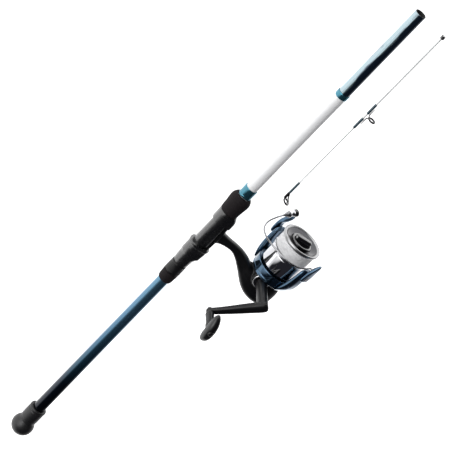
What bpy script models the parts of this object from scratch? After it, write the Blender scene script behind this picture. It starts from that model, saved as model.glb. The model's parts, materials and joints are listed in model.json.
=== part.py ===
"""Two-piece fishing rod with a fixed-spool reel, laid down with its loose tip section beside it.

Sizes below are millimetres; MM turns them into metres. Inside the "laid" empty, X runs along the
rod towards its tip, the reel hangs towards -Z and the crank points towards -Y. The empty tips this
bench frame over so that the crank points up and the rod, its front end and the roller arm rest on
the ground.
"""
from math import atan2, cos, degrees, hypot, pi, radians, sin

import bmesh
import bpy
import numpy as np
from mathutils import Matrix, Vector

MM = 0.001
GAP = 0.3  # kept between pieces that touch
LARGE_SIDES = 24  # facets round the reel's large turned pieces
ROUND_SIDES = 14
SMALL_SIDES = 10

# Rod, as x stations and radii
ROD_END_X = 835.0
BLANK_START_X = 12.0
BLANK_PROFILE = [(BLANK_START_X, 8.6), (161, 8.5), (316, 8.25), (675, 8.15), (ROD_END_X, 7.85)]
BLANK_WALL = 1.3
BALL_R = 16.0
BALL_X = -2.0
CAP_R = 12.3
CAP_END_X = 36.0
REAR_GRIP_X = (319.0, 335.7)
NUT_X = (336.0, 354.0)
HOOD_X = (354.3, 395.0)
SEAT_X = (337.0, 396.0, 438.0)
FRONT_HOOD_X = (438.3, 457.0)
FORE_GRIP_X = (457.3, 489.0)
COLLAR_X = (489.3, 505.0)
WRAP_X = (682.0, 690.0)

# Loose tip section: own frame, x from the thick end to the tip
TIP_LENGTH = 313.4
TIP_R = (1.45, 0.95)
TIP_GUIDE_X = 150.0
TIP_START = (814.4, -65.4)  # x and y of its thick end, from the rod's butt
TIP_ROLL = -45.0  # degrees about its length: the rings lean over towards the reel
TIP_COLLAR_R = 3.0
TIP_TOP_RING_R = 5.6
TIP_TOP_RING_Z = 5.9
TIP_TOP_LEAN = 20.0
GUIDE_RING_R = 5.6
GUIDE_RING_Z = 9.9

# Reel, measured from the rod axis or along the reel axis
DROP = 106.3  # rod axis to reel axis
CRANK_X = 402.0
CRANK_Z = -96.0
CRANK_OFFSET = DROP + CRANK_Z
CRANK_LENGTH = 68.5
CRANK_DIRECTION = (-0.672, 0.740)  # x and z of the arm at rest
ELBOW_Y = -70.0
ROTOR_TURN = -58.0  # degrees about X: puts the lever arm at local -Z and the roller arm at +Z
BAIL_X = 452.0
ROLLER_X = 483.0
ROLLER_R = 41.0
ROLLER_TILT = -20.0
SHAFT_R = 2.4
SHAFT_BORE_R = 2.75
CROWN_TEETH = 36
PINION_TEETH = 7
CROWN_R = 11.2
CROWN_PITCH = 2 * pi * CRANK_OFFSET / CROWN_TEETH  # along the pinion, where the two touch
AXLE_GEAR_TEETH = 16
OSCILLATION_TEETH = 24
OSCILLATION_X = 382.5

# Pose on the ground
LEAN = 17.675
PITCH = 0.153


def finish(name, colour, roughness, metallic=0.0):
    """A Principled material, made once for each name."""
    material = bpy.data.materials.get(name)
    if material is None:
        material = bpy.data.materials.new(name)
        material.use_nodes = True
        shader = material.node_tree.nodes["Principled BSDF"]
        shader.inputs["Base Color"].default_value = (*colour, 1.0)
        shader.inputs["Roughness"].default_value = roughness
        shader.inputs["Metallic"].default_value = metallic
        material.diffuse_color = (*colour, 1.0)
    return material


FINISHES = {
    "rubber": ((0.03, 0.03, 0.032), 0.6, 0.0),
    "foam": ((0.025, 0.02, 0.022), 0.85, 0.0),
    "blue_lacquer": ((0.02, 0.08, 0.2), 0.2, 0.5),
    "blue_metal": ((0.05, 0.12, 0.22), 0.25, 0.8),
    "trim_blue": ((0.03, 0.18, 0.26), 0.25, 0.7),
    "black_plastic": ((0.02, 0.02, 0.022), 0.4, 0.0),
    "white_lacquer": ((0.85, 0.87, 0.9), 0.2, 0.0),
    "chrome": ((0.85, 0.85, 0.87), 0.08, 1.0),
    "satin_silver": ((0.62, 0.62, 0.62), 0.35, 1.0),
    "steel": ((0.55, 0.55, 0.57), 0.25, 1.0),
    "brass": ((0.7, 0.52, 0.22), 0.3, 1.0),
    "line": ((0.75, 0.76, 0.78), 0.5, 0.0),
    "felt": ((0.12, 0.1, 0.09), 0.9, 0.0),
}


def solid(name, material, points, faces):
    """An object from points in millimetres and faces, with flat faces that face outwards."""
    mesh = bpy.data.meshes.new(name)
    mesh.from_pydata([Vector(p) * MM for p in points], [], faces)
    bm = bmesh.new()
    bm.from_mesh(mesh)
    bmesh.ops.connect_verts_nonplanar(bm, angle_limit=radians(0.02), faces=bm.faces)
    bmesh.ops.recalc_face_normals(bm, faces=bm.faces)
    if bm.calc_volume(signed=True) < 0:
        bmesh.ops.reverse_faces(bm, faces=bm.faces)
    bm.to_mesh(mesh)
    bm.free()
    obj = bpy.data.objects.new(name, mesh)
    bpy.context.scene.collection.objects.link(obj)
    mesh.materials.append(finish(material, *FINISHES[material]))
    return obj


def combine(base, tool, operation):
    """Boolean of base with tool, applied at once; the tool is used up."""
    modifier = base.modifiers.new(operation.lower(), "BOOLEAN")
    modifier.operation = operation
    modifier.solver = "EXACT"
    modifier.object = tool
    graph = bpy.context.evaluated_depsgraph_get()
    shaped = bpy.data.meshes.new_from_object(base.evaluated_get(graph))
    base.modifiers.clear()
    base.data = shaped
    bpy.data.objects.remove(tool)
    return base


def cut(base, *tools):
    for tool in tools:
        combine(base, tool, "DIFFERENCE")
    return base


def fuse(base, *tools):
    for tool in tools:
        combine(base, tool, "UNION")
    return base


def keep(base, tool):
    return combine(base, tool, "INTERSECT")


def skin(name, material, rings, closed=False):
    """Joins rings of equally many points; the ends are capped unless the rings close up."""
    count = len(rings[0])
    faces = []
    last = len(rings) if closed else len(rings) - 1
    for i in range(last):
        a = i * count
        b = (i + 1) % len(rings) * count
        for j in range(count):
            k = (j + 1) % count
            faces.append((a + j, a + k, b + k, b + j))
    if not closed:
        faces.append(tuple(range(count)))
        faces.append(tuple(range((len(rings) - 1) * count, len(rings) * count)))
    return solid(name, material, [p for ring in rings for p in ring], faces)


AXES = {
    "X": lambda a, u, v: (a, u, v),
    "Y": lambda a, u, v: (v, a, u),
    "Z": lambda a, u, v: (u, v, a),
}


def circle(axis, at, radius, sides, centre=(0.0, 0.0), phase=0.0):
    put = AXES[axis]
    turn = [2 * pi * (i + phase) / sides for i in range(sides)]
    return [put(at, centre[0] + radius * cos(t), centre[1] + radius * sin(t)) for t in turn]


def turned(name, material, profile, axis="X", sides=ROUND_SIDES, centre=(0.0, 0.0), hollow=False):
    """A turned piece from (station, radius) points; a hollow one's profile closes on itself."""
    rings = [circle(axis, at, max(radius, 0.02), sides, centre) for at, radius in profile]
    return skin(name, material, rings, closed=hollow)


def tube(name, material, stations, wall, axis="X", sides=ROUND_SIDES, centre=(0.0, 0.0)):
    """An open tube whose outside follows (station, radius) points."""
    inner = [(at, radius - wall) for at, radius in reversed(stations)]
    return turned(name, material, stations + inner, axis, sides, centre, hollow=True)


def rod_between(name, material, axis, start, end, radius, sides=SMALL_SIDES, centre=(0.0, 0.0)):
    return turned(name, material, [(start, radius), (end, radius)], axis, sides, centre)


def box(name, low, high, material="steel"):
    (x0, y0, z0), (x1, y1, z1) = low, high
    rings = [[(x, y0, z0), (x, y1, z0), (x, y1, z1), (x, y0, z1)] for x in (x0, x1)]
    return skin(name, material, rings)


def oval(across, up, sides, power):
    """Points of a superellipse, from round at power 2 to boxy at power 6."""
    points = []
    for i in range(sides):
        t = 2 * pi * (i + 0.5) / sides
        c, s = cos(t), sin(t)
        points.append(
            (across * abs(c) ** (2 / power) * (1 if c > 0 else -1),
             up * abs(s) ** (2 / power) * (1 if s > 0 else -1))
        )
    return points


def arc(centre, radius, start, end, steps):
    """Points of an arc in a profile's (station, radius) plane, angles in degrees."""
    angles = [radians(start + (end - start) * i / steps) for i in range(steps + 1)]
    return [(centre[0] + radius * cos(t), centre[1] + radius * sin(t)) for t in angles]


def smooth_path(points, steps):
    """Catmull-Rom curve through the points, with so many steps in each span."""
    p = [Vector(q) for q in points]
    p = [2 * p[0] - p[1], *p, 2 * p[-1] - p[-2]]
    path = []
    for i in range(1, len(p) - 2):
        for k in range(steps):
            t = k / steps
            path.append(
                0.5 * (2 * p[i] + (p[i + 1] - p[i - 1]) * t
                       + (2 * p[i - 1] - 5 * p[i] + 4 * p[i + 1] - p[i + 2]) * t * t
                       + (3 * p[i] - p[i - 1] - 3 * p[i + 1] + p[i + 2]) * t ** 3)
            )
    path.append(p[-2])
    return path


def swept(name, material, path, radii, sides=8):
    """A round bar along a path; its cross-section is carried along without twisting."""
    tangents = []
    for i, point in enumerate(path):
        ahead = path[min(i + 1, len(path) - 1)]
        behind = path[max(i - 1, 0)]
        tangents.append((ahead - behind).normalized())
    side = tangents[0].orthogonal().normalized()
    rings = []
    for point, tangent, radius in zip(path, tangents, radii):
        side = (side - tangent * side.dot(tangent)).normalized()
        up = tangent.cross(side)
        turn = [2 * pi * j / sides for j in range(sides)]
        rings.append([point + (side * cos(t) + up * sin(t)) * radius for t in turn])
    return skin(name, material, rings)


def toothed_outline(teeth, pitch_r, addendum, dedendum, tip, root, phase=0.0):
    """Angles and radii of a spur gear's outline; tip and root are shares of the tooth pitch."""
    outline = []
    for i in range(teeth):
        for share, radius in (
            (-0.5 + root / 2, pitch_r - dedendum), (-tip / 2, pitch_r + addendum),
            (tip / 2, pitch_r + addendum), (0.5 - root / 2, pitch_r - dedendum),
        ):
            outline.append((2 * pi * (i + share + phase) / teeth, radius))
    return outline


def gear_ring(axis, at, outline, twist=0.0, centre=(0.0, 0.0)):
    put = AXES[axis]
    return [put(at, centre[0] + r * cos(t + twist), centre[1] + r * sin(t + twist))
            for t, r in outline]


def moved(obj, matrix):
    """Shifts an object's mesh, in metres, and leaves its origin alone."""
    obj.data.transform(matrix)
    return obj


def frame(name, parent, at=(0.0, 0.0, 0.0), turn=(0.0, 0.0, 0.0)):
    """An empty that carries pieces; `at` in millimetres, `turn` in degrees."""
    empty = bpy.data.objects.new(name, None)
    bpy.context.scene.collection.objects.link(empty)
    empty.parent = parent
    empty.location = Vector(at) * MM
    empty.rotation_euler = [radians(angle) for angle in turn]
    return empty


# ---------------------------------------------------------------- rod


def rod_blank():
    return tube("rod_blank", "blue_lacquer", BLANK_PROFILE, BLANK_WALL)


def butt_cap():
    ball = arc((BALL_X, 0), BALL_R, 180, 42, 6)
    inner_r = 8.6 + GAP
    floor_x = BLANK_START_X - GAP
    rim = [(13, CAP_R), (CAP_END_X - 2, CAP_R), (CAP_END_X, CAP_R - 1.6), (CAP_END_X, inner_r)]
    return turned("butt_cap", "rubber", ball + rim + [(floor_x, inner_r), (floor_x, 0)])


def ring_piece(name, material, profile, bore, sides=ROUND_SIDES):
    """A collar with a straight bore round the rod."""
    closing = [(profile[-1][0], bore), (profile[0][0], bore)]
    return turned(name, material, profile + closing, sides=sides, hollow=True)


def rear_grip():
    start, end = REAR_GRIP_X
    profile = [(start, 8.9), (start + 0.8, 9.5), (start + 9, 10.3), (end - 1, 11), (end, 10.7)]
    return ring_piece("rear_grip", "foam", profile, 8.25 + GAP)


def seat_lock_nut():
    start, end = NUT_X
    profile = [(start, 10.7), (start + 1, 11.1), (end - 1, 10.8), (end, 10.4)]
    return ring_piece("seat_lock_nut", "black_plastic", profile, 9.7 + GAP)


def seat_section(x, top, low, half_width):
    """Round above the axis and boxy below it, where the reel's foot lies."""
    points = []
    for i in range(ROUND_SIDES):
        t = 2 * pi * (i + 0.5) / ROUND_SIDES
        c, s = cos(t), sin(t)
        if s > 0:
            points.append((x, top * c, top * s))
        else:
            y = half_width * abs(c) ** 0.45 * (1 if c > 0 else -1)
            points.append((x, y, -low * abs(s) ** 0.45))
    return points


def seat_circle(x, radius):
    """A round section whose points pair up with those of seat_section."""
    return circle("X", x, radius, ROUND_SIDES, phase=0.5)


def reel_seat():
    start, step, end = SEAT_X
    bore = 8.25 + GAP
    outside = [seat_circle(start, 9.7), seat_circle(step, 9.7),
               seat_section(step + 0.1, 9.9, 10.3, 9.6), seat_section(end, 9.9, 10.3, 9.6)]
    inside = [seat_circle(x, bore) for x in (end, start)]
    return skin("reel_seat", "black_plastic", outside + inside, closed=True)


def foot_pocket(x0, x1):
    return box("foot_pocket", (x0, -8.2, -14.5), (x1, 8.2, -9.3))


def sliding_hood():
    start, end = HOOD_X
    bore = 9.7 + GAP
    outside = [seat_circle(start, 10.8), seat_circle(start + 13.7, 12.1),
               seat_section(start + 20, 12.5, 13.2, 12.2),
               seat_section(end - 9, 12.9, 15.4, 12.4),
               seat_section(end - 4.2, 12.6, 15.4, 12.2),
               seat_section(end - 3.8, 13.8, 16.2, 12.9),
               seat_section(end, 13.8, 16.2, 12.9)]
    inside = [seat_circle(x, bore) for x in (end, start)]
    hood = skin("sliding_hood", "black_plastic", outside + inside, closed=True)
    return cut(hood, foot_pocket(end - 11.5, end + 1))


def fixed_hood():
    start, end = FRONT_HOOD_X
    bore = 8.25 + GAP
    outside = [seat_section(start, 11.6, 15.8, 12.2), seat_section(start + 10, 12.0, 15.6, 12.4),
               seat_section(end - 3, 12.6, 13.4, 12.6), seat_circle(end, 12.6)]
    inside = [seat_circle(x, bore) for x in (end, start)]
    hood = skin("fixed_hood", "black_plastic", outside + inside, closed=True)
    return cut(hood, foot_pocket(start - 1, start + 14.5))


def fore_grip():
    start, end = FORE_GRIP_X
    profile = [(start, 12.4), (start + 1, 12.9), (start + 12, 13.7), (start + 21, 14.7),
               (start + 25, 14.6), (start + 28.5, 13.4), (start + 30.8, 11.6), (end, 9.8)]
    return ring_piece("fore_grip", "foam", profile, 8.25 + GAP)


def trim_collar():
    start, end = COLLAR_X
    profile = [(start, 9.0), (start + 0.5, 9.3), (end - 0.6, 9.3), (end, 9.0)]
    return ring_piece("trim_collar", "trim_blue", profile, 8.2 + GAP)


def front_wrap():
    start, end = WRAP_X
    profile = [(start, 8.7), (start + 0.6, 9.0), (end - 0.6, 9.0), (end, 8.7)]
    return ring_piece("front_wrap", "trim_blue", profile, 8.16 + GAP)


# ---------------------------------------------------------------- loose tip section


def tip_radius(x):
    return TIP_R[0] + (TIP_R[1] - TIP_R[0]) * x / TIP_LENGTH


def tip_blank():
    end = TIP_LENGTH - 2
    return turned("tip_blank", "white_lacquer", [(0, tip_radius(0)), (end, tip_radius(end))],
                  sides=12)


def thread_wrap(name, start, end):
    inner = tip_radius(start) + GAP
    outer = inner + 0.45
    profile = [(start, inner + 0.15), (start + 1, outer), (end - 1, outer), (end, inner + 0.15)]
    return ring_piece(name, "trim_blue", profile, inner, sides=12)


def tip_end_collar():
    inner = tip_radius(0) + GAP
    radius = TIP_COLLAR_R
    profile = [(0, radius - 0.5), (0.7, radius), (4.3, radius), (5, radius - 0.4)]
    return ring_piece("tip_end_collar", "black_plastic", profile, inner, sides=16)


def line_ring(name, material, at, centre_z, outer, inner, half):
    """A ring with its bore along x, standing above the blank."""
    profile = [(at - half, inner + 0.15), (at - half, outer - 0.3), (at, outer),
               (at + half, outer - 0.3), (at + half, inner + 0.2), (at, inner)]
    return turned(name, material, profile, centre=(0.0, centre_z), hollow=True)


def leg(points, radii=(0.75, 0.75, 0.75)):
    path = smooth_path(points, 2)
    spread = np.interp(np.linspace(0, 1, len(path)), np.linspace(0, 1, len(radii)), radii)
    return swept("leg", "steel", path, spread, sides=5)


def guide_frame():
    """A running guide: a ring on two legs that bend out along the blank."""
    x = TIP_GUIDE_X
    frame_ring = line_ring("guide_frame", "steel", x, GUIDE_RING_Z, GUIDE_RING_R,
                           GUIDE_RING_R - 0.8, 0.9)
    foot_z = tip_radius(x) + 1.8
    legs = [leg([(x + d * 14, 0, foot_z), (x + d * 4, 0, foot_z), (x + d * 1.6, 0, foot_z + 1),
                 (x + d * 0.4, 0, GUIDE_RING_Z - GUIDE_RING_R + 0.4)]) for d in (-1, 1)]
    return fuse(frame_ring, *legs)


def guide_ring():
    outer = GUIDE_RING_R - 0.8 - GAP
    return line_ring("guide_ring", "satin_silver", TIP_GUIDE_X, GUIDE_RING_Z, outer, outer - 0.9,
                     1.2)


def tip_top_lean():
    """Tilts the tip-top's ring forward about the end of its tube."""
    pivot = Vector((TIP_LENGTH, 0, 0)) * MM
    turn = Matrix.Rotation(radians(TIP_TOP_LEAN), 4, "Y")
    return Matrix.Translation(pivot) @ turn @ Matrix.Translation(-pivot)


def tip_top_frame():
    """A short tube over the tip, with a ring held in front of it by three wires."""
    end = TIP_LENGTH
    bore = tip_radius(end) + GAP
    sleeve = turned("tip_top_frame", "steel",
                    [(end - 9, bore + 0.7), (end, bore + 0.7), (end + 1.2, 0.9)], sides=12)
    cut(sleeve, rod_between("bore", "steel", "X", end - 10, end - 1.5, bore, 12))
    ring_x = end + 1.6
    lean = tip_top_lean()
    ring = moved(line_ring("ring", "steel", ring_x, TIP_TOP_RING_Z, TIP_TOP_RING_R,
                           TIP_TOP_RING_R - 0.8, 0.9), lean)
    wires = [leg([(end - 0.6, 0, 0.6), (end + 0.6, 0, 0.6), (end + 1.4, 0, 0.7)])]
    for side in (-1, 1):
        hold = Vector((ring_x - 0.5, side * 4.9, TIP_TOP_RING_Z + 2.6)) * MM
        wires.append(leg([(end - 7.4, side * 0.6, bore + 0.4), (end - 4, side * 1.4, bore + 1.8),
                          lean @ hold / MM], (0.6, 0.5, 0.5)))
    return fuse(sleeve, ring, *wires)


def tip_top_ring():
    outer = TIP_TOP_RING_R - 0.8 - GAP
    return moved(line_ring("tip_top_ring", "satin_silver", TIP_LENGTH + 1.6, TIP_TOP_RING_Z,
                           outer, outer - 0.8, 1.0), tip_top_lean())


# ---------------------------------------------------------------- reel body

# z below the rod axis, rear x, front x, half thickness, squareness
BODY_SECTIONS = [
    (-14.2, 405.5, 430.5, 7.0, 3.0), (-17, 408, 427, 6.4, 3.0), (-22, 409.8, 424.6, 6.0, 3.0),
    (-32, 410.4, 422.4, 5.8, 3.0), (-42, 408.8, 420.8, 5.9, 3.0), (-52, 402.5, 418.6, 6.4, 3.0),
    (-60, 395.5, 415.6, 7.6, 3.0), (-68, 388, 411.6, 9.6, 3.0), (-75, 381, 407.4, 12.2, 3.2),
    (-83, 374, 405.6, 14.6, 3.4), (-93, 368, 405.4, 16.3, 3.6), (-104, 364.4, 405.4, 16.8, 3.6),
    (-114, 363.2, 405.4, 16.4, 3.4), (-122, 365, 405, 14.4, 3.2), (-127.5, 369.5, 402.4, 11.4, 3.0),
    (-130.6, 376.5, 396.5, 7.2, 2.6),
]
SPLIT_Y = 5.0
WALL = 2.3
COVER_SCREWS = [(376.1, -88.7, 14.2), (373.6, -121.6, 13.7), (397.4, -121.2, 13.5)]  # x, z, head y


def body_rings(sections, inset=0.0, sides=16):
    rings = []
    for z, rear, front, half, power in sections:
        middle = (rear + front) / 2
        outline = oval((front - rear) / 2 - inset, half - inset, sides, power)
        rings.append([(middle + dx, y, z) for dx, y in outline])
    return rings


def gearbox_space():
    """The room inside the gear case, with the round nose that reaches into the rotor."""
    low = [s for s in BODY_SECTIONS if -124 < s[0] < -78]
    top = (-80.0, 380.0, 405.6, 13.6, 3.2)
    bottom = (-126.5, 370.5, 401.5, 12.0, 3.0)
    space = skin("space", "steel", body_rings([top, *low, bottom], WALL))
    ahead = turned("nose_space", "steel",
                   [(396, 24.4), (412.8, 24.4), (412.9, 18.2), (418.6, 18.2)],
                   centre=(0, -DROP), sides=24)
    flat = NOSE_FLAT - WALL
    keep(ahead, box("flats", (390, -flat, -140), (430, flat, -70)))
    return fuse(space, ahead)


NOSE_R = 26.6
NOSE_X = 403.8
NOSE_FLAT = 16.7
COVER_TOP_Z = -74.0


def nose():
    """Round where it reaches into the rotor, with flats level with the case's sides."""
    body = turned("nose", "black_plastic",
                  [(NOSE_X, NOSE_R), (414.2, NOSE_R), (415, 25.2), (415.1, 20.5), (420.8, 20.5),
                   (421, 12.6), (426.5, 12.6)], centre=(0, -DROP), sides=24)
    return keep(body, box("flats", (390, -NOSE_FLAT, -140), (430, NOSE_FLAT, -70)))


def cover_side(y, top):
    """The block of space that the side cover fills."""
    return box("cover_side", (340, y, -145), (440, 40, top))


def body_bores():
    """The bores of the crank axle, its bearing seat and the pinion's bearing."""
    crank = (CRANK_Z, CRANK_X)
    return [rod_between("axle_hole", "steel", "Y", -30, 0, 5.2, SMALL_SIDES, crank),
            rod_between("bearing_seat", "steel", "Y", -16.6, 0, 8.0 + GAP, ROUND_SIDES, crank),
            rod_between("pinion_hole", "steel", "X", 410, 430, 5.6, SMALL_SIDES, (0, -DROP)),
            rod_between("pinion_seat", "steel", "X", 419.4, 430, 9.0, ROUND_SIDES, (0, -DROP))]


def cap_hole():
    return rod_between("cap_hole", "steel", "Y", 8, 30, 6.0, ROUND_SIDES, (CRANK_Z, CRANK_X))


def case(name):
    return skin(name, "black_plastic", body_rings(BODY_SECTIONS))


def foot():
    """The foot that the rod's seat clamps, thinner towards its ends."""
    stations = [(385.8, 12.6, 4.0), (388, 12.9, 6.0), (398, 13.9, 7.6), (412, 14.4, 7.9),
                (424, 14.4, 7.9), (440, 13.9, 7.6), (449, 12.9, 6.0), (451.4, 12.6, 4.0)]
    rings = []
    for x, low, half in stations:
        rings.append([(x, y, z) for y, z in
                      [(-half, -10.6), (half, -10.6), (half, -low + 0.6), (half * 0.8, -low),
                       (-half * 0.8, -low), (-half, -low + 0.6)]])
    return skin("foot", "black_plastic", rings)


def reel_body():
    shell = cut(case("reel_body"), cover_side(SPLIT_Y, COVER_TOP_Z + GAP))
    boss = turned("boss", "black_plastic", [(-10, 12.6), (-16.9, 12.6), (-17.4, 12.1)], "Y", 24,
                  (CRANK_Z, CRANK_X))
    fuse(shell, foot(), boss, nose())
    cut(shell, gearbox_space(), *body_bores(), cap_hole())
    for x, z, _ in COVER_SCREWS:
        post = tube("post", "black_plastic", [(-14.4, 3.2), (SPLIT_Y, 3.2)], 1.7, "Y", 8, (z, x))
        fuse(shell, post)
    return shell


def side_cover():
    """The far side of the gear case, which lifts off to reach the gears."""
    shell = keep(case("side_cover"), cover_side(SPLIT_Y + GAP, COVER_TOP_Z))
    for x, z, _ in COVER_SCREWS:
        cut(shell, rod_between("hole", "steel", "Y", 0, 30, 2.6, 8, (z, x)))
    cut(shell, gearbox_space())
    seat = turned("seat", "black_plastic", [(8.6, 11.2), (16, 11.2)], "Y", ROUND_SIDES,
                  (CRANK_Z, CRANK_X))
    fuse(shell, keep(seat, box("inside", (360, 8, -140), (405, 17, -80))))
    clear_nose = rod_between("clear_nose", "steel", "X", NOSE_X - GAP, 430, NOSE_R + GAP, 24,
                             (0, -DROP))
    bearing_seat = rod_between("bearing_seat", "steel", "Y", 0, 13.4, 8.0 + GAP, ROUND_SIDES,
                               (CRANK_Z, CRANK_X))
    return cut(shell, clear_nose, bearing_seat, cap_hole())


def cover_screw(index):
    """A pan-head screw through the side cover into a post of the gear case."""
    x, z, head = COVER_SCREWS[index]
    return turned(f"cover_screw_{index + 1}", "steel",
                  [(0, 1.2), (head - 2, 1.2), (head - 1.9, 2.2), (head, 2.0)], "Y", 8, (z, x))


def ring_bearing(name, axis, start, end, inner, outer, centre):
    profile = [(start, outer), (end, outer), (end, inner), (start, inner)]
    return turned(name, "steel", profile, axis, ROUND_SIDES, centre, hollow=True)


def boss_ring():
    profile = [(-17.7, 11.3), (-18.5, 11.3), (-19.1, 10.6), (-19.1, 9.0), (-18.5, 8.3),
               (-17.7, 8.3)]
    return turned("boss_ring", "chrome", profile, "Y", 24, hollow=True)


def axle_cap():
    """A screw-in cap over the end of the crank axle that isn't in use."""
    return turned("axle_cap", "black_plastic",
                  [(14.6, 5.6), (17.2, 5.6), (17.25, 8.6), (18.8, 8.6), (19.4, 7.8)], "Y", ROUND_SIDES)


def drive_gear():
    """The crank's axle with its crown gear, and the small gear that drives the oscillation."""
    axle = turned("drive_gear", "brass",
                  [(-27, 4.0), (-11, 4.0), (-10.9, CROWN_R), (-8.2, CROWN_R), (-8.1, 5.4),
                   (5.3, 5.4), (5.4, 4.0), (13.2, 4.0)], "Y")
    small = skin("small", "brass", [gear_ring("Y", y, axle_gear_outline()) for y in (5.0, 8.0)])
    return fuse(axle, crown_teeth(), small)


def crown_teeth():
    """A low ring whose upper face carries the radial teeth."""
    inner, outer = 8.4, CROWN_R - 0.2
    rings = []
    for i in range(2 * CROWN_TEETH):
        angle = pi * i / CROWN_TEETH
        height = -4.8 if i % 2 else -6.6
        rings.append([(outer * cos(angle), -8.6, outer * sin(angle)),
                      (outer * cos(angle), height, outer * sin(angle)),
                      (inner * cos(angle), height, inner * sin(angle)),
                      (inner * cos(angle), -8.6, inner * sin(angle))])
    return skin("crown", "brass", rings, closed=True)


OSCILLATION_Z = 0.0  # on the reel axis
OSCILLATION_REACH = hypot(CRANK_X - OSCILLATION_X, CRANK_OFFSET - OSCILLATION_Z)
GEAR_MODULE = 2 * OSCILLATION_REACH / (AXLE_GEAR_TEETH + OSCILLATION_TEETH)


def axle_gear_outline():
    # In the crank's frame: a gap of this gear faces the oscillation gear, whose tooth faces it.
    towards = atan2(OSCILLATION_X - CRANK_X, OSCILLATION_Z - CRANK_OFFSET)
    phase = towards * AXLE_GEAR_TEETH / (2 * pi) + 0.5
    return toothed_outline(AXLE_GEAR_TEETH, GEAR_MODULE * AXLE_GEAR_TEETH / 2,
                           0.55 * GEAR_MODULE, 0.95 * GEAR_MODULE, 0.2, 0.3, phase)


def oscillation_gear():
    towards = atan2(CRANK_X - OSCILLATION_X, CRANK_OFFSET - OSCILLATION_Z)
    phase = towards * OSCILLATION_TEETH / (2 * pi)
    outline = toothed_outline(OSCILLATION_TEETH, GEAR_MODULE * OSCILLATION_TEETH / 2,
                              0.55 * GEAR_MODULE, 0.95 * GEAR_MODULE, 0.2, 0.3, phase)
    wheel = skin("oscillation_gear", "black_plastic",
                 [gear_ring("Y", y, outline) for y in (6.0, 7.8)])
    hub = rod_between("hub", "black_plastic", "Y", 7, 10.5, 3.0, 8)
    pin = rod_between("pin", "black_plastic", "Y", 4.7, 6.5, 1.4, 8, (5.0, 0.0))
    return fuse(wheel, hub, pin)


def oscillation_slider():
    """A block on the main shaft; the gear's pin would run in its slot."""
    block = box("oscillation_slider", (-4.5, -4.2, -9.5), (4.5, 4.3, 9.5), "black_plastic")
    cut(block, box("slot", (-1.8, 2.6, -7.5), (1.8, 6, 7.5)))
    return cut(block, rod_between("bore", "steel", "X", -6, 6, SHAFT_BORE_R))


def main_shaft():
    return turned("main_shaft", "steel", [(375, 1.9), (375.6, SHAFT_R), (477.4, SHAFT_R),
                                          (478, 1.9)], sides=SMALL_SIDES)


def pinion_gear():
    """A hollow pinion: helical teeth behind, and a sleeve that carries the rotor."""
    outline = toothed_outline(PINION_TEETH, 3.75, 0.6, 0.35, 0.3, 0.3)
    length = 14.0
    twist = 2 * pi * length / (PINION_TEETH * CROWN_PITCH)
    rings = [gear_ring("X", 398 + length * t, outline, twist=twist * t)
             for t in np.linspace(0, 1, 15)]
    teeth = skin("pinion_gear", "brass", rings)
    sleeve = rod_between("sleeve", "brass", "X", 410.5, 449.6, 4.2, ROUND_SIDES)
    bore = rod_between("bore", "brass", "X", 390, 460, SHAFT_BORE_R)
    return cut(fuse(teeth, sleeve), bore)


# ---------------------------------------------------------------- rotor and bail

ARM_SECTIONS = [
    (409.8, 28.5, 29.9, 13.0), (412.5, 28.5, 32.2, 13.8), (418, 28.7, 35.6, 13.6),
    (425, 29.4, 38.2, 12.6), (433, 30.8, 39.7, 11.6), (441, 32.0, 40.3, 10.8),
    (450, 32.8, 40.5, 9.8), (457, 33.4, 39.9, 8.4), (461, 34.8, 38.2, 5.4),
]
COVER_BOX = (425.5, 447.5, 38.0)  # x from, x to, inner radius of the arm covers
SPRING_BOX = ((430, -3.6, 34.6), (445.6, 3.6, 38.5))


def arm_shape(side, name="arm"):
    rings = []
    for x, inner, outer, half in ARM_SECTIONS:
        middle = (inner + outer) / 2
        outline = oval(half, (outer - inner) / 2, 16, 3.2)
        rings.append([(x, y, side * (middle + r)) for y, r in outline])
    return skin(name, "blue_metal", rings)


def side_box(name, low, high, side):
    (x0, y0, r0), (x1, y1, r1) = low, high
    z0, z1 = sorted((side * r0, side * r1))
    return box(name, (x0, y0, z0), (x1, y1, z1))


def pivot_hole(side, radius=1.95, start=35.4, end=60):
    return rod_between("pivot_hole", "steel", "Z", side * start, side * end, radius, 10,
                       (BAIL_X, 0.0))


def rotor():
    profile = [(409.5, 29.4), (410.2, 30), (423.2, 30), (424, 29.4), (424, 28.4), (418.4, 28.4),
               (418.4, 23.6), (444, 23.6), (444, 4.6), (437, 4.6), (437, 7), (440, 7),
               (440, 21.7), (415.6, 21.7), (415.6, 28.4), (409.5, 28.4)]
    drum = turned("rotor", "blue_metal", profile, sides=LARGE_SIDES, hollow=True)
    for side in (-1, 1):
        x0, x1, inner = COVER_BOX
        arm = cut(arm_shape(side), side_box("cover_seat", (x0, -20, inner), (x1, 20, 50), side))
        cut(arm, side_box("spring_seat", *SPRING_BOX, side), pivot_hole(side))
        fuse(drum, arm)
    return drum


def arm_cover(side, name):
    """The outer skin of an arm, over the pocket of the bail spring."""
    x0, x1, inner = COVER_BOX
    low = (x0 + GAP, -20, inner + GAP)
    return keep(arm_shape(side, name), side_box("cover", low, (x1 - GAP, 20, 50), side))


def rotor_nut():
    nut = turned("rotor_nut", "steel", [(444.3, 8.6), (448.2, 8.6), (448.8, 7.8)], sides=6)
    return cut(nut, rod_between("bore", "steel", "X", 440, 455, 4.2 + GAP, ROUND_SIDES))


def one_way_clutch():
    return ring_bearing("one_way_clutch", "X", 426.9, 434.5, 4.6, 12.6, (0.0, 0.0))


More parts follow.
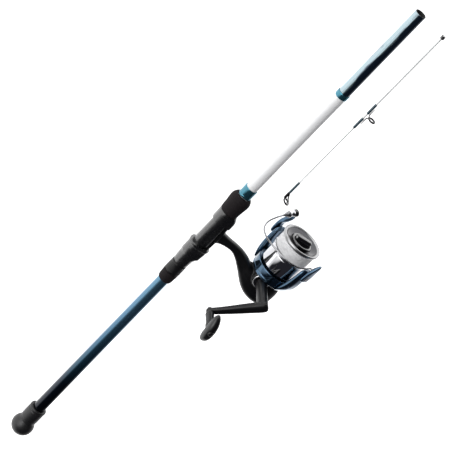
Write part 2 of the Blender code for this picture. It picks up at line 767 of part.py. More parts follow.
def bail_spring():
    """The coil that snaps the bail over, lying in the lever arm."""
    turns, per_turn = 5, 6
    path = []
    for i in range(turns * per_turn + 1):
        t = 2 * pi * i / per_turn
        x = 431.5 + 12.5 * i / (turns * per_turn)
        path.append(Vector((x, 1.3 * cos(t), -36.3 + 1.3 * sin(t))))
    return swept("bail_spring", "steel", path, [0.3] * len(path), sides=4)


def plate(name, side, sections, sides=12):
    """A lever outside a rotor arm, from (x, inner r, outer r, half width, middle y) sections."""
    rings = []
    for x, inner, outer, half, middle_y in sections:
        outline = oval(half, (outer - inner) / 2, sides, 3.4)
        rings.append([(x, middle_y + y, side * ((inner + outer) / 2 + r)) for y, r in outline])
    return skin(name, "blue_metal", rings)


def screw_seat(side):
    return rod_between("screw_seat", "steel", "Z", side * 43.0, side * 60, 3.3 + GAP, SMALL_SIDES,
                       (BAIL_X, 0.0))


def roller_frame_matrix():
    """From the roller's own frame, whose Y is its axis, to the rotor's frame."""
    place = Matrix.Translation(Vector((ROLLER_X, 0, ROLLER_R)) * MM)
    return place @ Matrix.Rotation(radians(ROLLER_TILT), 4, "Z")


def bail_arm():
    arm = plate("bail_arm", 1, [
        (445.2, 42.0, 44.0, 4.0, 0), (447.5, 41.0, 44.8, 6.6, 0), (452, 40.9, 45.2, 7.4, 0),
        (458, 40.9, 45.6, 7.2, 0), (464, 40.6, 46.0, 6.6, 0.6), (469, 38.6, 46.0, 5.6, 2.0),
        (474, 37.4, 45.4, 3.2, 4.9), (478, 37.0, 45.2, 1.8, 7.0), (482, 37.2, 45.0, 1.0, 6.9)])
    lug = turned("lug", "blue_metal", [(4.5, 5.2), (7.0, 5.4), (7.4, 4.8)], "Y")
    fuse(arm, moved(lug, roller_frame_matrix()))
    pin_hole = rod_between("pin_hole", "steel", "Y", 0, 12, 1.3 + GAP, 8)
    return cut(arm, pivot_hole(1), screw_seat(1), moved(pin_hole, roller_frame_matrix()))


def bail_lever():
    lever = plate("bail_lever", -1, [
        (445.2, 42.0, 44.0, 4.0, 0), (447.5, 41.0, 44.8, 6.6, 0), (452, 40.9, 45.2, 7.4, 0),
        (458, 40.9, 45.8, 7.0, 0), (464, 40.8, 46.4, 6.2, 0), (470, 41.4, 47.2, 4.8, 0),
        (476, 43.2, 47.8, 3.2, 0), (480.6, 45.2, 47.8, 1.6, 0)])
    return cut(lever, pivot_hole(-1), screw_seat(-1))


def line_roller():
    """A grooved roller on the bail arm's pin, over which the line turns."""
    profile = [(-4.0, 4.9), (0, 3.7), (4.0, 4.9), (4.0, 1.3 + GAP), (-4.0, 1.3 + GAP)]
    return turned("line_roller", "chrome", profile, "Y", hollow=True)


def roller_cap():
    """The screw that holds the roller, seen as a round cap on the end of the bail arm."""
    return turned("roller_cap", "black_plastic",
                  [(-4.2, 1.3), (7.6, 1.3), (7.7, 5.2), (8.8, 5.2), (9.6, 4.0)], "Y", SMALL_SIDES)


BAIL_WIRE_POINTS = [
    (471.5, -17.5, 42.8), (464.0, -26.0, 42.2), (459.2, -33.0, 37.6), (457.2, -38.0, 30.0),
    (457.2, -41.2, 18.0), (458.8, -41.8, 6.0), (460.0, -40.2, -5.0), (460.6, -36.8, -16.0),
    (461.4, -30.0, -26.5), (463.2, -20.5, -34.6), (465.6, -11.0, -38.2), (467.5, -3.0, -38.8),
]


def bail_wire():
    """The wire round the front of the spool, with the cone that guides the line to the roller."""
    matrix = roller_frame_matrix()
    cone = [(-4.5, 4.5), (-6.0, 4.1), (-8.5, 2.9), (-12.0, 1.6)]
    start = [matrix @ Vector((0, y * MM, 0)) / MM for y, _ in cone]
    bend = smooth_path([start[-1] + (start[-1] - start[-2]) * 0.6, *BAIL_WIRE_POINTS], 1)
    radii = [radius for _, radius in cone] + [1.1] * (len(bend) - 1) + [1.6]
    wire = swept("bail_wire", "steel", start + bend, radii, sides=8)
    hole = rod_between("hole", "steel", "Y", -7.0, 0, 1.3 + GAP, 8)
    return cut(wire, moved(hole, matrix))


def pivot_screw(side, name):
    profile = [(side * 36, 1.6), (side * 43.25, 1.6), (side * 43.3, 3.3), (side * 45.2, 3.3),
               (side * 45.7, 2.5)]
    return turned(name, "steel", profile, "Z", 10)


# ---------------------------------------------------------------- spool and drag

SKIRT_REAR_X = 426.5


def spool():
    profile = [(SKIRT_REAR_X, 26.5), (451.6, 26.5), (452.2, 27.4), (454.0, 27.4),
               (454.3, 18), (471.6, 18), (471.7, 24.2), (476, 24.2),
               (475.6, 23), (473.2, 17.4), (473.2, 15.9), (462, 15.9), (462, SHAFT_BORE_R),
               (458, SHAFT_BORE_R), (458, 16.2), (451.8, 16.2), (451.8, 24.9),
               (SKIRT_REAR_X, 24.9)]
    return turned("spool", "chrome", profile, sides=LARGE_SIDES, hollow=True)


def spool_lip():
    profile = [(472, 27.8), (475, 29), (477.2, 28), (477.2, 25.2), (476.5, 24.5), (472, 24.5)]
    return turned("spool_lip", "satin_silver", profile, sides=LARGE_SIDES, hollow=True)


def line_winding():
    """The wound line, a turned ring between the spool's flanges."""
    profile = [(454.6, 26.8), (471.4, 26.8), (471.4, 18.3), (454.6, 18.3)]
    return turned("line_winding", "line", profile, sides=LARGE_SIDES, hollow=True)


def washer(name, material, start, end, outer):
    profile = [(start, outer), (end, outer), (end, SHAFT_BORE_R), (start, SHAFT_BORE_R)]
    return turned(name, material, profile, hollow=True)


def drag_spring():
    """A wave spring: a flat ring with three waves."""
    count = 18
    rings = []
    for i in range(count):
        t = 2 * pi * i / count
        x = 466.6 + 0.5 * sin(3 * t)
        corners = [(x - 0.35, 6.0), (x + 0.35, 6.0), (x + 0.35, 10.0), (x - 0.35, 10.0)]
        rings.append([(a, r * cos(t), r * sin(t)) for a, r in corners])
    return skin("drag_spring", "steel", rings, closed=True)


def drag_knob():
    """The knob in the spool's dish: a disc with a raised grip across it."""
    disc = turned("drag_knob", "black_plastic",
                  [(468.2, 14.6), (474.4, 15.4), (475.6, 15.0), (476.0, 14.0), (476.4, 12.6)],
                  sides=24)
    rings = []
    for x, long, wide in ((474.5, 13.0, 4.6), (478.5, 12.8, 3.9), (480.6, 12.0, 3.2),
                          (481.4, 10.6, 2.2)):
        ring = []
        for i in range(ROUND_SIDES):
            t = 2 * pi * (i + 0.5) / ROUND_SIDES
            waist = 0.62 + 0.38 * abs(cos(t)) ** 1.5
            ring.append((x, wide * waist * sin(t) * 1.6, long * cos(t)))
        rings.append(ring)
    knob = fuse(disc, skin("grip", "black_plastic", rings))
    return cut(knob, rod_between("bore", "steel", "X", 460, 478.6, SHAFT_BORE_R))


# ---------------------------------------------------------------- crank

# The crank frame has the crank axis as Y and, once turned, the arm along local +X.


ARM_STATIONS = [  # along the arm, half width, half thickness, rise from the elbow's height
    (-7.6, 3.2, 2.8, 0), (-6.2, 5.8, 4.6, 0), (-2, 7.2, 5.6, 0), (6, 7.3, 5.6, 0),
    (16, 6.9, 5.2, -0.1), (30, 6.3, 4.8, -0.4), (45, 5.5, 4.2, -0.7), (58, 4.9, 3.7, -0.6),
    (64, 4.7, 3.4, -0.3), (68.5, 4.6, 3.2, 0), (71.5, 3.5, 2.8, 0), (73.2, 1.9, 2.2, 0),
]


def crank_arm():
    """One moulding: the shank from the reel's side out to the elbow, and the arm to the knob."""
    crank = turned("crank_arm", "black_plastic",
                   [(-17.7, 7.0), (-19, 7.2), (-62, 7.6), (-70, 7.6), (-73.2, 6.2), (-74.8, 3.8),
                    (-75.2, 0)], "Y")
    rings = []
    for x, half, thick, rise in ARM_STATIONS:
        rings.append([(x, ELBOW_Y + rise + dy, z) for z, dy in oval(half, thick, 12, 3.0)])
    fuse(crank, skin("arm", "black_plastic", rings))
    axle = rod_between("axle_hole", "steel", "Y", -27.5, 0, 4 + GAP, ROUND_SIDES)
    seat = rod_between("spindle_hole", "steel", "Y", -100, -40, 2.0 + GAP, 8, (0, CRANK_LENGTH))
    return cut(crank, axle, seat)


KNOB_BACK = ELBOW_Y - 4.6
KNOB_MIDDLE = ELBOW_Y - 39.0
KNOB_FLOOR = KNOB_MIDDLE + 3.2  # the counterbore that takes the cap
KNOB_HALF_LENGTH = 23.0
KNOB_RINGS = 12


def knob_spindle():
    """The post that the knob turns on, riveted through the arm."""
    return turned("knob_spindle", "steel",
                  [(-64.6, 3.2), (-65.8, 3.4), (-66.4, 3.4), (-66.5, 2.0), (-104.0, 2.0)], "Y", 8)


def knob():
    """A stem that widens into a crescent paddle, bored for its spindle."""
    stem = turned("knob", "rubber",
                  [(KNOB_BACK, 5.0), (-76, 5.9), (-84, 5.5), (-94, 5.7), (-100, 6.4),
                   (-107.3, 5.9)], "Y", SMALL_SIDES)
    rings = []
    for i in range(KNOB_RINGS):
        u = -1 + 2 * i / (KNOB_RINGS - 1)
        x = KNOB_HALF_LENGTH * sin(u * pi / 2)
        share = (1 - (abs(x) / KNOB_HALF_LENGTH) ** 2.6) ** 0.5 if abs(u) < 1 else 0.25
        bow = 6.0 * (abs(x) / KNOB_HALF_LENGTH) ** 2
        outline = oval(max(6.8 * share, 1.6), max(8.0 * share, 1.8), 12, 2.4)
        rings.append([(x, KNOB_MIDDLE + bow + dy, z) for z, dy in outline])
    fuse(stem, skin("paddle", "rubber", rings))
    bore = rod_between("bore", "steel", "Y", -130, 0, 2.0 + GAP, 8)
    counterbore = rod_between("counterbore", "steel", "Y", -130, KNOB_FLOOR, 3.4 + GAP, SMALL_SIDES)
    return cut(stem, bore, counterbore)


def knob_cap():
    return turned("knob_cap", "black_plastic",
                  [(KNOB_FLOOR - GAP, 3.4), (KNOB_MIDDLE - 8.4, 3.4), (KNOB_MIDDLE - 9.0, 2.6)], "Y",
                  SMALL_SIDES)


# ---------------------------------------------------------------- assembly


def carry(parent, pieces):
    for piece in pieces:
        piece.parent = parent


def assemble():
    ground = frame("model", None)
    pitched = frame("pitched", ground, turn=(0, PITCH, 0))
    laid = frame("laid", pitched, turn=(-(90 + LEAN), 0, 0))
    carry(laid, [rod_blank(), butt_cap(), rear_grip(), seat_lock_nut(), reel_seat(),
                    sliding_hood(), fixed_hood(), fore_grip(), trim_collar(), front_wrap(),
                    reel_body(), side_cover(), *[cover_screw(i) for i in range(3)]])

    reel_line = frame("reel_line", laid, (0, 0, -DROP))
    carry(reel_line, [main_shaft(), pinion_gear(), one_way_clutch(), rotor_nut(), spool(),
                      spool_lip(), line_winding(), drag_spring(), drag_knob(),
                      washer("drag_washer_steel", "steel", 462.3, 463.4, 15.2),
                      washer("drag_washer_felt", "felt", 463.7, 465.4, 15.2),
                      ring_bearing("pinion_bearing", "X", 419.8, 425.6, 4.5, 8.7, (0.0, 0.0))])
    slider = oscillation_slider()
    slider.location.x = OSCILLATION_X * MM
    carry(reel_line, [slider])
    wheel = frame("oscillation_axis", reel_line, (OSCILLATION_X, 0, OSCILLATION_Z))
    carry(wheel, [oscillation_gear()])

    crank_line = frame("crank_line", laid, (CRANK_X, 0, CRANK_Z))
    carry(crank_line, [drive_gear(), boss_ring(), axle_cap(),
                       ring_bearing("axle_bearing_crank", "Y", -16.4, -12.6, 4.3, 8.0, (0.0, 0.0)),
                       ring_bearing("axle_bearing_cover", "Y", 9.2, 13.1, 4.3, 8.0, (0.0, 0.0))])
    dx, dz = CRANK_DIRECTION
    arm_line = frame("arm_line", crank_line, turn=(0, degrees(atan2(-dz, dx)), 0))
    carry(arm_line, [crank_arm()])
    knob_line = frame("knob_line", crank_line, (CRANK_LENGTH * dx, 0, CRANK_LENGTH * dz), (0, -6, 0))
    carry(knob_line, [knob_spindle(), knob(), knob_cap()])

    rotor_line = frame("rotor_line", reel_line, turn=(ROTOR_TURN, 0, 0))
    carry(rotor_line, [rotor(), arm_cover(1, "arm_cover_roller"), arm_cover(-1, "arm_cover_lever"),
                       bail_spring(), bail_arm(), bail_lever(), bail_wire(),
                       pivot_screw(1, "pivot_screw_roller"), pivot_screw(-1, "pivot_screw_lever")])
    roller_line = frame("roller_line", rotor_line, (ROLLER_X, 0, ROLLER_R), (0, 0, ROLLER_TILT))
    carry(roller_line, [line_roller(), roller_cap()])

    tip_line = frame("tip_line", ground, turn=(TIP_ROLL, 0, 180))
    carry(tip_line, [tip_blank(), tip_end_collar(),
                     thread_wrap("tip_wrap", TIP_LENGTH - 30, TIP_LENGTH - 9.4),
                     thread_wrap("guide_wrap_rear", TIP_GUIDE_X - 20.5, TIP_GUIDE_X - 2.7),
                     thread_wrap("guide_wrap_front", TIP_GUIDE_X + 5.5, TIP_GUIDE_X + 24.3),
                     guide_frame(), guide_ring(), tip_top_frame(), tip_top_ring()])
    return ground, tip_line


def bounds(objects):
    """Lowest and highest corner of the objects in the world, in metres."""
    bpy.context.view_layer.update()
    points = np.vstack([[obj.matrix_world @ v.co for v in obj.data.vertices] for obj in objects])
    return points.min(axis=0), points.max(axis=0)


def settle(ground, tip_line):
    """Puts the loose section on the rod's ground, and the origin under the model's middle."""
    pieces = [obj for obj in bpy.data.objects if obj.type == "MESH"]
    loose = [obj for obj in pieces if obj.parent == tip_line]
    rest = [obj for obj in pieces if obj.parent != tip_line]
    ground_z = bounds(rest)[0][2]
    tip_line.location = Vector((TIP_START[0] * MM, TIP_START[1] * MM, 0))
    tip_line.location.z = ground_z - bounds(loose)[0][2]
    low, high = bounds(pieces)
    ground.location = (-(low[0] + high[0]) / 2, -(low[1] + high[1]) / 2, -low[2])


def main():
    for obj in list(bpy.data.objects):
        bpy.data.objects.remove(obj, do_unlink=True)
    settle(*assemble())
    for obj in bpy.data.objects:
        if obj.type == "MESH":
            obj.data.shade_smooth()
            obj.data.set_sharp_from_angle(angle=radians(32))
    bpy.context.view_layer.update()


main()
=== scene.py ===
"""Looks of the fishing rod and reel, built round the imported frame.

Each piece is built in millimetres in the frame of the joint or bench it belongs to, and MM turns
them into metres. In the bench frame X runs along the rod towards its front end, the reel hangs
towards -Z and the crank points towards -Y.
"""

import json
from math import copysign, cos, hypot, pi, radians, sin

import bmesh
import bpy
import numpy as np
from mathutils import Matrix, Vector


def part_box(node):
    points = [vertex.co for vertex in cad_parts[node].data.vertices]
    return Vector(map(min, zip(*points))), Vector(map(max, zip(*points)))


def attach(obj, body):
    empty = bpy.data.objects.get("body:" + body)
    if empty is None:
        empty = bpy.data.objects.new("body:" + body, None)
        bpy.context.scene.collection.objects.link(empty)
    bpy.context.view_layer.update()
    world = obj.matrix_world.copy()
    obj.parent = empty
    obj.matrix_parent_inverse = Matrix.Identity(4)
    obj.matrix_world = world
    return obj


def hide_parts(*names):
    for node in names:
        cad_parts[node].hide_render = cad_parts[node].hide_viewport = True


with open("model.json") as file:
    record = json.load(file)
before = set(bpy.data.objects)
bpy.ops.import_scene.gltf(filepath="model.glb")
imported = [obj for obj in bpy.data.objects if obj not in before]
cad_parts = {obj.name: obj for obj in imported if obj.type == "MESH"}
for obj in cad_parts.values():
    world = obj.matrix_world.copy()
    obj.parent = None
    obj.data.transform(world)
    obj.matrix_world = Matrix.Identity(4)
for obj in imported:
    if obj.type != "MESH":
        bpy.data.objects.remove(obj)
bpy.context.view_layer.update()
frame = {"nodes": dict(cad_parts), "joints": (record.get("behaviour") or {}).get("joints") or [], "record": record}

MM = 0.001
DROP = 106.3  # rod axis to reel axis
CRANK = (-96.0, 402.0)  # z and x of the crank axis on the bench
NUT_X = 345.0  # middle of the lock nut
BAIL_X = 452.0  # the bail's pivots
WHITE_X = 400.0  # the blank is navy behind this, then white
FRONT_X = 682.0  # and dark in front of this
ELBOW_Y = -70.0  # the crank's arm
KNOB_Y = -85.0  # the knob's joint, on the knob's own axis
KNOB_LEAN = radians(-6)
TIP_LENGTH = 313.4
TIP_GUIDE_X = 150.0
TIP_LEAN = radians(-45)


# ---------------------------------------------------------------- frames

JOINTS = {joint["name"]: joint for joint in frame["joints"]}


def axis_of(name):
    return Vector(JOINTS[name]["axis"]).normalized()


def spot(name):
    return Vector(JOINTS[name]["pos_m"])


def basis(origin, x, y):
    z = x.cross(y).normalized()
    rows = Matrix((x, y, z)).transposed().to_4x4()
    return Matrix.Translation(origin) @ rows


ALONG = -axis_of("hood_slide")
ACROSS = axis_of("handle_turn")
BENCH = basis(spot("nut_turn") - ALONG * NUT_X * MM, ALONG, ACROSS)
REEL = BENCH @ Matrix.Translation(Vector((0, 0, -DROP * MM)))
ROTOR = basis(REEL.translation, ALONG, axis_of("bail_open").cross(ALONG).normalized())
ROLLER = basis(spot("roller_spin"), axis_of("roller_spin").cross(axis_of("bail_open")),
               axis_of("roller_spin"))
CRANK_LINE = basis(spot("handle_turn"), ALONG, ACROSS)
ARM_WAY = spot("knob_spin") - spot("handle_turn")
ARM = basis(spot("handle_turn"), (ARM_WAY - ACROSS * ARM_WAY.dot(ACROSS)).normalized(), ACROSS)
KNOB = (basis(spot("knob_spin") - ACROSS * KNOB_Y * MM, ALONG, ACROSS)
        @ Matrix.Rotation(KNOB_LEAN, 4, "Y"))


def tip_frame():
    low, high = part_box("tip_blank")
    middle = (low + high) / 2
    up = Vector((0, sin(TIP_LEAN), cos(TIP_LEAN)))
    x = Vector((-1, 0, 0))
    return basis(Vector((high.x, middle.y, middle.z)), x, up.cross(x))


TIP = tip_frame()


# ---------------------------------------------------------------- shapes


def angles(sides, offset=0.0):
    return [2 * pi * (i + offset) / sides for i in range(sides)]


def signed_power(value, power):
    return copysign(abs(value) ** power, value)


def build(name, points, faces, place):
    """An object whose own frame is `place`, from points in millimetres, facing outwards."""
    mesh = bpy.data.meshes.new(name)
    mesh.from_pydata([Vector(p) * MM for p in points], [], faces)
    bm = bmesh.new()
    bm.from_mesh(mesh)
    bmesh.ops.recalc_face_normals(bm, faces=bm.faces)
    if bm.calc_volume(signed=True) < 0:
        bmesh.ops.reverse_faces(bm, faces=bm.faces)
    bm.to_mesh(mesh)
    bm.free()
    obj = bpy.data.objects.new(name, mesh)
    bpy.context.scene.collection.objects.link(obj)
    obj.matrix_world = place
    return obj


def skin(name, rings, place, closed=False):
    """Joins rings of equally many points; the ends are capped unless the rings close up."""
    count = len(rings[0])
    faces = []
    last = len(rings) if closed else len(rings) - 1
    for i in range(last):
        a = i * count
        b = (i + 1) % len(rings) * count
        for j in range(count):
            k = (j + 1) % count
            faces.append((a + j, a + k, b + k, b + j))
    if not closed:
        faces.append(tuple(range(count)))
        faces.append(tuple(range((len(rings) - 1) * count, len(rings) * count)))
    return build(name, [p for ring in rings for p in ring], faces, place)


CORNER_STEPS = 3
AXES = {
    "X": lambda a, u, v: (a, u, v),
    "Y": lambda a, u, v: (v, a, u),
    "Z": lambda a, u, v: (u, v, a),
}


def soften(points, radius, closed):
    """Rounds the corners of a profile."""
    result = []
    count = len(points)
    for i, point in enumerate(points):
        if not closed and i in (0, count - 1):
            result.append(point)
            continue
        p = Vector(point)
        before, after = Vector(points[i - 1]) - p, Vector(points[(i + 1) % count]) - p
        if before.length < 1e-6 or after.length < 1e-6 or before.angle(after) > radians(165):
            result.append(point)
            continue
        start = p + before.normalized() * min(radius, before.length * 0.45)
        end = p + after.normalized() * min(radius, after.length * 0.45)
        for k in range(CORNER_STEPS + 1):
            t = k / CORNER_STEPS
            result.append(tuple(start * (1 - t) ** 2 + p * 2 * t * (1 - t) + end * t * t))
    return result


def lathe(name, profile, place, axis="X", sides=96, centre=(0.0, 0.0), hollow=False, soft=0.4,
          flute=None):
    """A turned piece from (station, radius) points. `flute` shapes the radius by its angle."""
    put = AXES[axis]
    rings = []
    for at, radius in soften(profile, soft, hollow):
        ring = []
        for t in angles(sides):
            r = max(radius + (flute(at, t) if flute else 0), 0.01)
            ring.append(put(at, centre[0] + r * cos(t), centre[1] + r * sin(t)))
        rings.append(ring)
    return skin(name, rings, place, closed=hollow)


def drill(start, end, radius, place, axis, centre=(0.0, 0.0), sides=48):
    """A cylinder to cut with."""
    return lathe("drill", [(start, radius), (end, radius)], place, axis, sides, centre, soft=0)


def box(name, low, high, place):
    (x0, y0, z0), (x1, y1, z1) = low, high
    return skin(name, [[(x, y0, z0), (x, y1, z0), (x, y1, z1), (x, y0, z1)] for x in (x0, x1)],
                place)


def oval(across, up, sides, power):
    """Points of a superellipse, from round at power 2 to boxy at power 6."""
    return [(across * signed_power(cos(t), 2 / power), up * signed_power(sin(t), 2 / power))
            for t in angles(sides, 0.5)]


def blended(rows, steps):
    """Catmull-Rom rows between the given rows of numbers."""
    p = [np.array(row, float) for row in rows]
    p = [2 * p[0] - p[1], *p, 2 * p[-1] - p[-2]]
    result = []
    for i in range(1, len(p) - 2):
        for k in range(steps):
            t = k / steps
            result.append(0.5 * (2 * p[i] + (p[i + 1] - p[i - 1]) * t
                                 + (2 * p[i - 1] - 5 * p[i] + 4 * p[i + 1] - p[i + 2]) * t * t
                                 + (3 * p[i] - p[i - 1] - 3 * p[i + 1] + p[i + 2]) * t ** 3))
    result.append(p[-2])
    return result


def bar(name, path, radii, place, sides):
    """A round bar along a path; its cross-section is carried along without twisting."""
    path = [Vector(p) for p in path]
    side = None
    rings = []
    for i, point in enumerate(path):
        tangent = (path[min(i + 1, len(path) - 1)] - path[max(i - 1, 0)]).normalized()
        side = side or tangent.orthogonal().normalized()
        side = (side - tangent * side.dot(tangent)).normalized()
        up = tangent.cross(side)
        rings.append([point + (side * cos(t) + up * sin(t)) * radii[i] for t in angles(sides)])
    return skin(name, rings, place)


def baked(obj):
    """Turns the object's modifiers into its mesh."""
    bpy.context.view_layer.update()
    graph = bpy.context.evaluated_depsgraph_get()
    shaped = bpy.data.meshes.new_from_object(obj.evaluated_get(graph))
    obj.modifiers.clear()
    obj.data = shaped
    return obj


def joined(base, tools, operation="UNION"):
    """Booleans base with the tools, which are used up."""
    for tool in tools:
        modifier = base.modifiers.new(operation.lower(), "BOOLEAN")
        modifier.operation = operation
        modifier.solver = "MANIFOLD"
        modifier.object = tool
        baked(base)
        bpy.data.objects.remove(tool)
    return base


def moulded(obj, voxel, smoothing):
    """Melts joined shapes into one skin with soft inner corners."""
    remesh = obj.modifiers.new("remesh", "REMESH")
    remesh.mode = "VOXEL"
    remesh.voxel_size = voxel * MM
    remesh.use_smooth_shade = True
    smooth = obj.modifiers.new("smooth", "SMOOTH")
    smooth.factor = 0.5
    smooth.iterations = smoothing
    return baked(obj)


def moved(obj, matrix):
    obj.data.transform(matrix)
    return obj


# ---------------------------------------------------------------- materials


WAVE_PERIOD = 0.314  # metres from band to band of a wave texture at scale 1
NOISE_LOW, NOISE_HIGH = 0.3, 0.7  # most of a noise texture lies between these


def add_node(tree, kind, inputs=None, **settings):
    """A node whose inputs each take a value or a link from another node's output."""
    node = tree.nodes.new(kind)
    for key, value in settings.items():
        setattr(node, key, value)
    for key, value in (inputs or {}).items():
        if isinstance(value, bpy.types.NodeSocket):
            tree.links.new(value, node.inputs[key])
        else:
            node.inputs[key].default_value = value
    return node


def add_range(tree, value, start, end, low=0.0, high=1.0):
    """Maps start to end onto low to high."""
    return add_node(tree, "ShaderNodeMapRange", {
        "Value": value, "From Min": start, "From Max": end, "To Min": low, "To Max": high,
    }).outputs["Result"]


def add_ramp(tree, value, stops):
    ramp = add_node(tree, "ShaderNodeValToRGB", {"Fac": value})
    elements = ramp.color_ramp.elements
    while len(elements) > 1:
        elements.remove(elements[-1])
    elements[0].position = stops[0][0]
    elements[0].color = (*stops[0][1], 1)
    for position, colour in stops[1:]:
        elements.new(position).color = (*colour, 1)
    return ramp.outputs["Color"]


class Finish:
    """A Principled material with its pattern nodes."""

    def __init__(self, name, colour, roughness, metallic=0.0, place=BENCH, **sockets):
        self.material = bpy.data.materials.new(name)
        self.material.use_nodes = True
        self.material.diffuse_color = (*colour, 1)
        self.tree = self.material.node_tree
        self.shader = self.tree.nodes["Principled BSDF"]
        self.shader.inputs["Base Color"].default_value = (*colour, 1)
        self.shader.inputs["Roughness"].default_value = roughness
        self.shader.inputs["Metallic"].default_value = metallic
        for key, value in sockets.items():
            self.shader.inputs[key.replace("_", " ")].default_value = value
        local = self.node("ShaderNodeMapping", {
            "Vector": self.node("ShaderNodeTexCoord").outputs["Object"],
            "Location": place.translation, "Rotation": place.to_euler(),
        }, vector_type="TEXTURE")
        self.coordinates = local.outputs["Vector"]
        self.normal = None

    def node(self, kind, inputs=None, **settings):
        return add_node(self.tree, kind, inputs, **settings)

    def drive(self, key, value):
        """Feeds an input of the shader from another node."""
        self.tree.links.new(value, self.shader.inputs[key])
        return self

    def noise(self, scale, detail, stretch):
        mapping = self.node("ShaderNodeMapping", {"Vector": self.coordinates, "Scale": stretch})
        return self.node("ShaderNodeTexNoise", {
            "Vector": mapping.outputs["Vector"], "Scale": scale, "Detail": detail,
        }).outputs["Fac"]

    def vary_colour(self, scale, dark, light, stretch=(1, 1, 1)):
        stops = [(NOISE_LOW, dark), (NOISE_HIGH, light)]
        return self.drive("Base Color",
                          add_ramp(self.tree, self.noise(scale, 5.0, stretch), stops))

    def vary_roughness(self, scale, low, high, stretch=(1, 1, 1)):
        noise = self.noise(scale, 5.0, stretch)
        return self.drive("Roughness",
                          add_range(self.tree, noise, NOISE_LOW, NOISE_HIGH, low, high))

    def bump(self, height, distance, strength):
        inputs = {"Height": height, "Distance": distance, "Strength": strength}
        if self.normal:
            inputs["Normal"] = self.normal
        self.normal = self.node("ShaderNodeBump", inputs).outputs["Normal"]
        return self.drive("Normal", self.normal)

    def grain(self, scale, distance, strength, stretch=(1, 1, 1)):
        return self.bump(self.noise(scale, 3.0, stretch), distance, strength)

    def threads(self, pitch, distance, strength, distortion=0.0):
        """Turns round the X axis of the finish's frame, `pitch` millimetres apart."""
        wave = self.node("ShaderNodeTexWave", {
            "Vector": self.coordinates, "Scale": WAVE_PERIOD / (pitch * MM),
            "Distortion": distortion,
        }, wave_type="BANDS", bands_direction="X")
        return self.bump(wave.outputs["Fac"], distance, strength)

    def wave_print_and_highlight(self, side, ground, wave_and_highlight):
        """A light stripe with a wavy edge on the side that faces one way: a printed wave and a painted highlight.
        """
        across = self.node("ShaderNodeVectorMath", {0: self.coordinates, 1: side},
                           operation="DOT_PRODUCT")
        wavy = self.node("ShaderNodeMath", {
            0: self.noise(26, 2.0, (1, 3, 3)), 1: 7 * MM, 2: across.outputs["Value"],
        }, operation="MULTIPLY_ADD")
        edge = add_range(self.tree, wavy.outputs["Value"], 8.5 * MM, 10.5 * MM)
        stops = [(0.0, ground), (0.5, ground), (1.0, wave_and_highlight)]
        return self.drive("Base Color", add_ramp(self.tree, edge, stops))

    def fade(self, start, end, stops):
        """Colours between two stations, in millimetres, on the X axis of the finish's frame."""
        split = self.node("ShaderNodeSeparateXYZ", {"Vector": self.coordinates})
        share = add_range(self.tree, split.outputs["X"], start * MM, end * MM)
        return self.drive("Base Color", add_ramp(self.tree, share, stops))


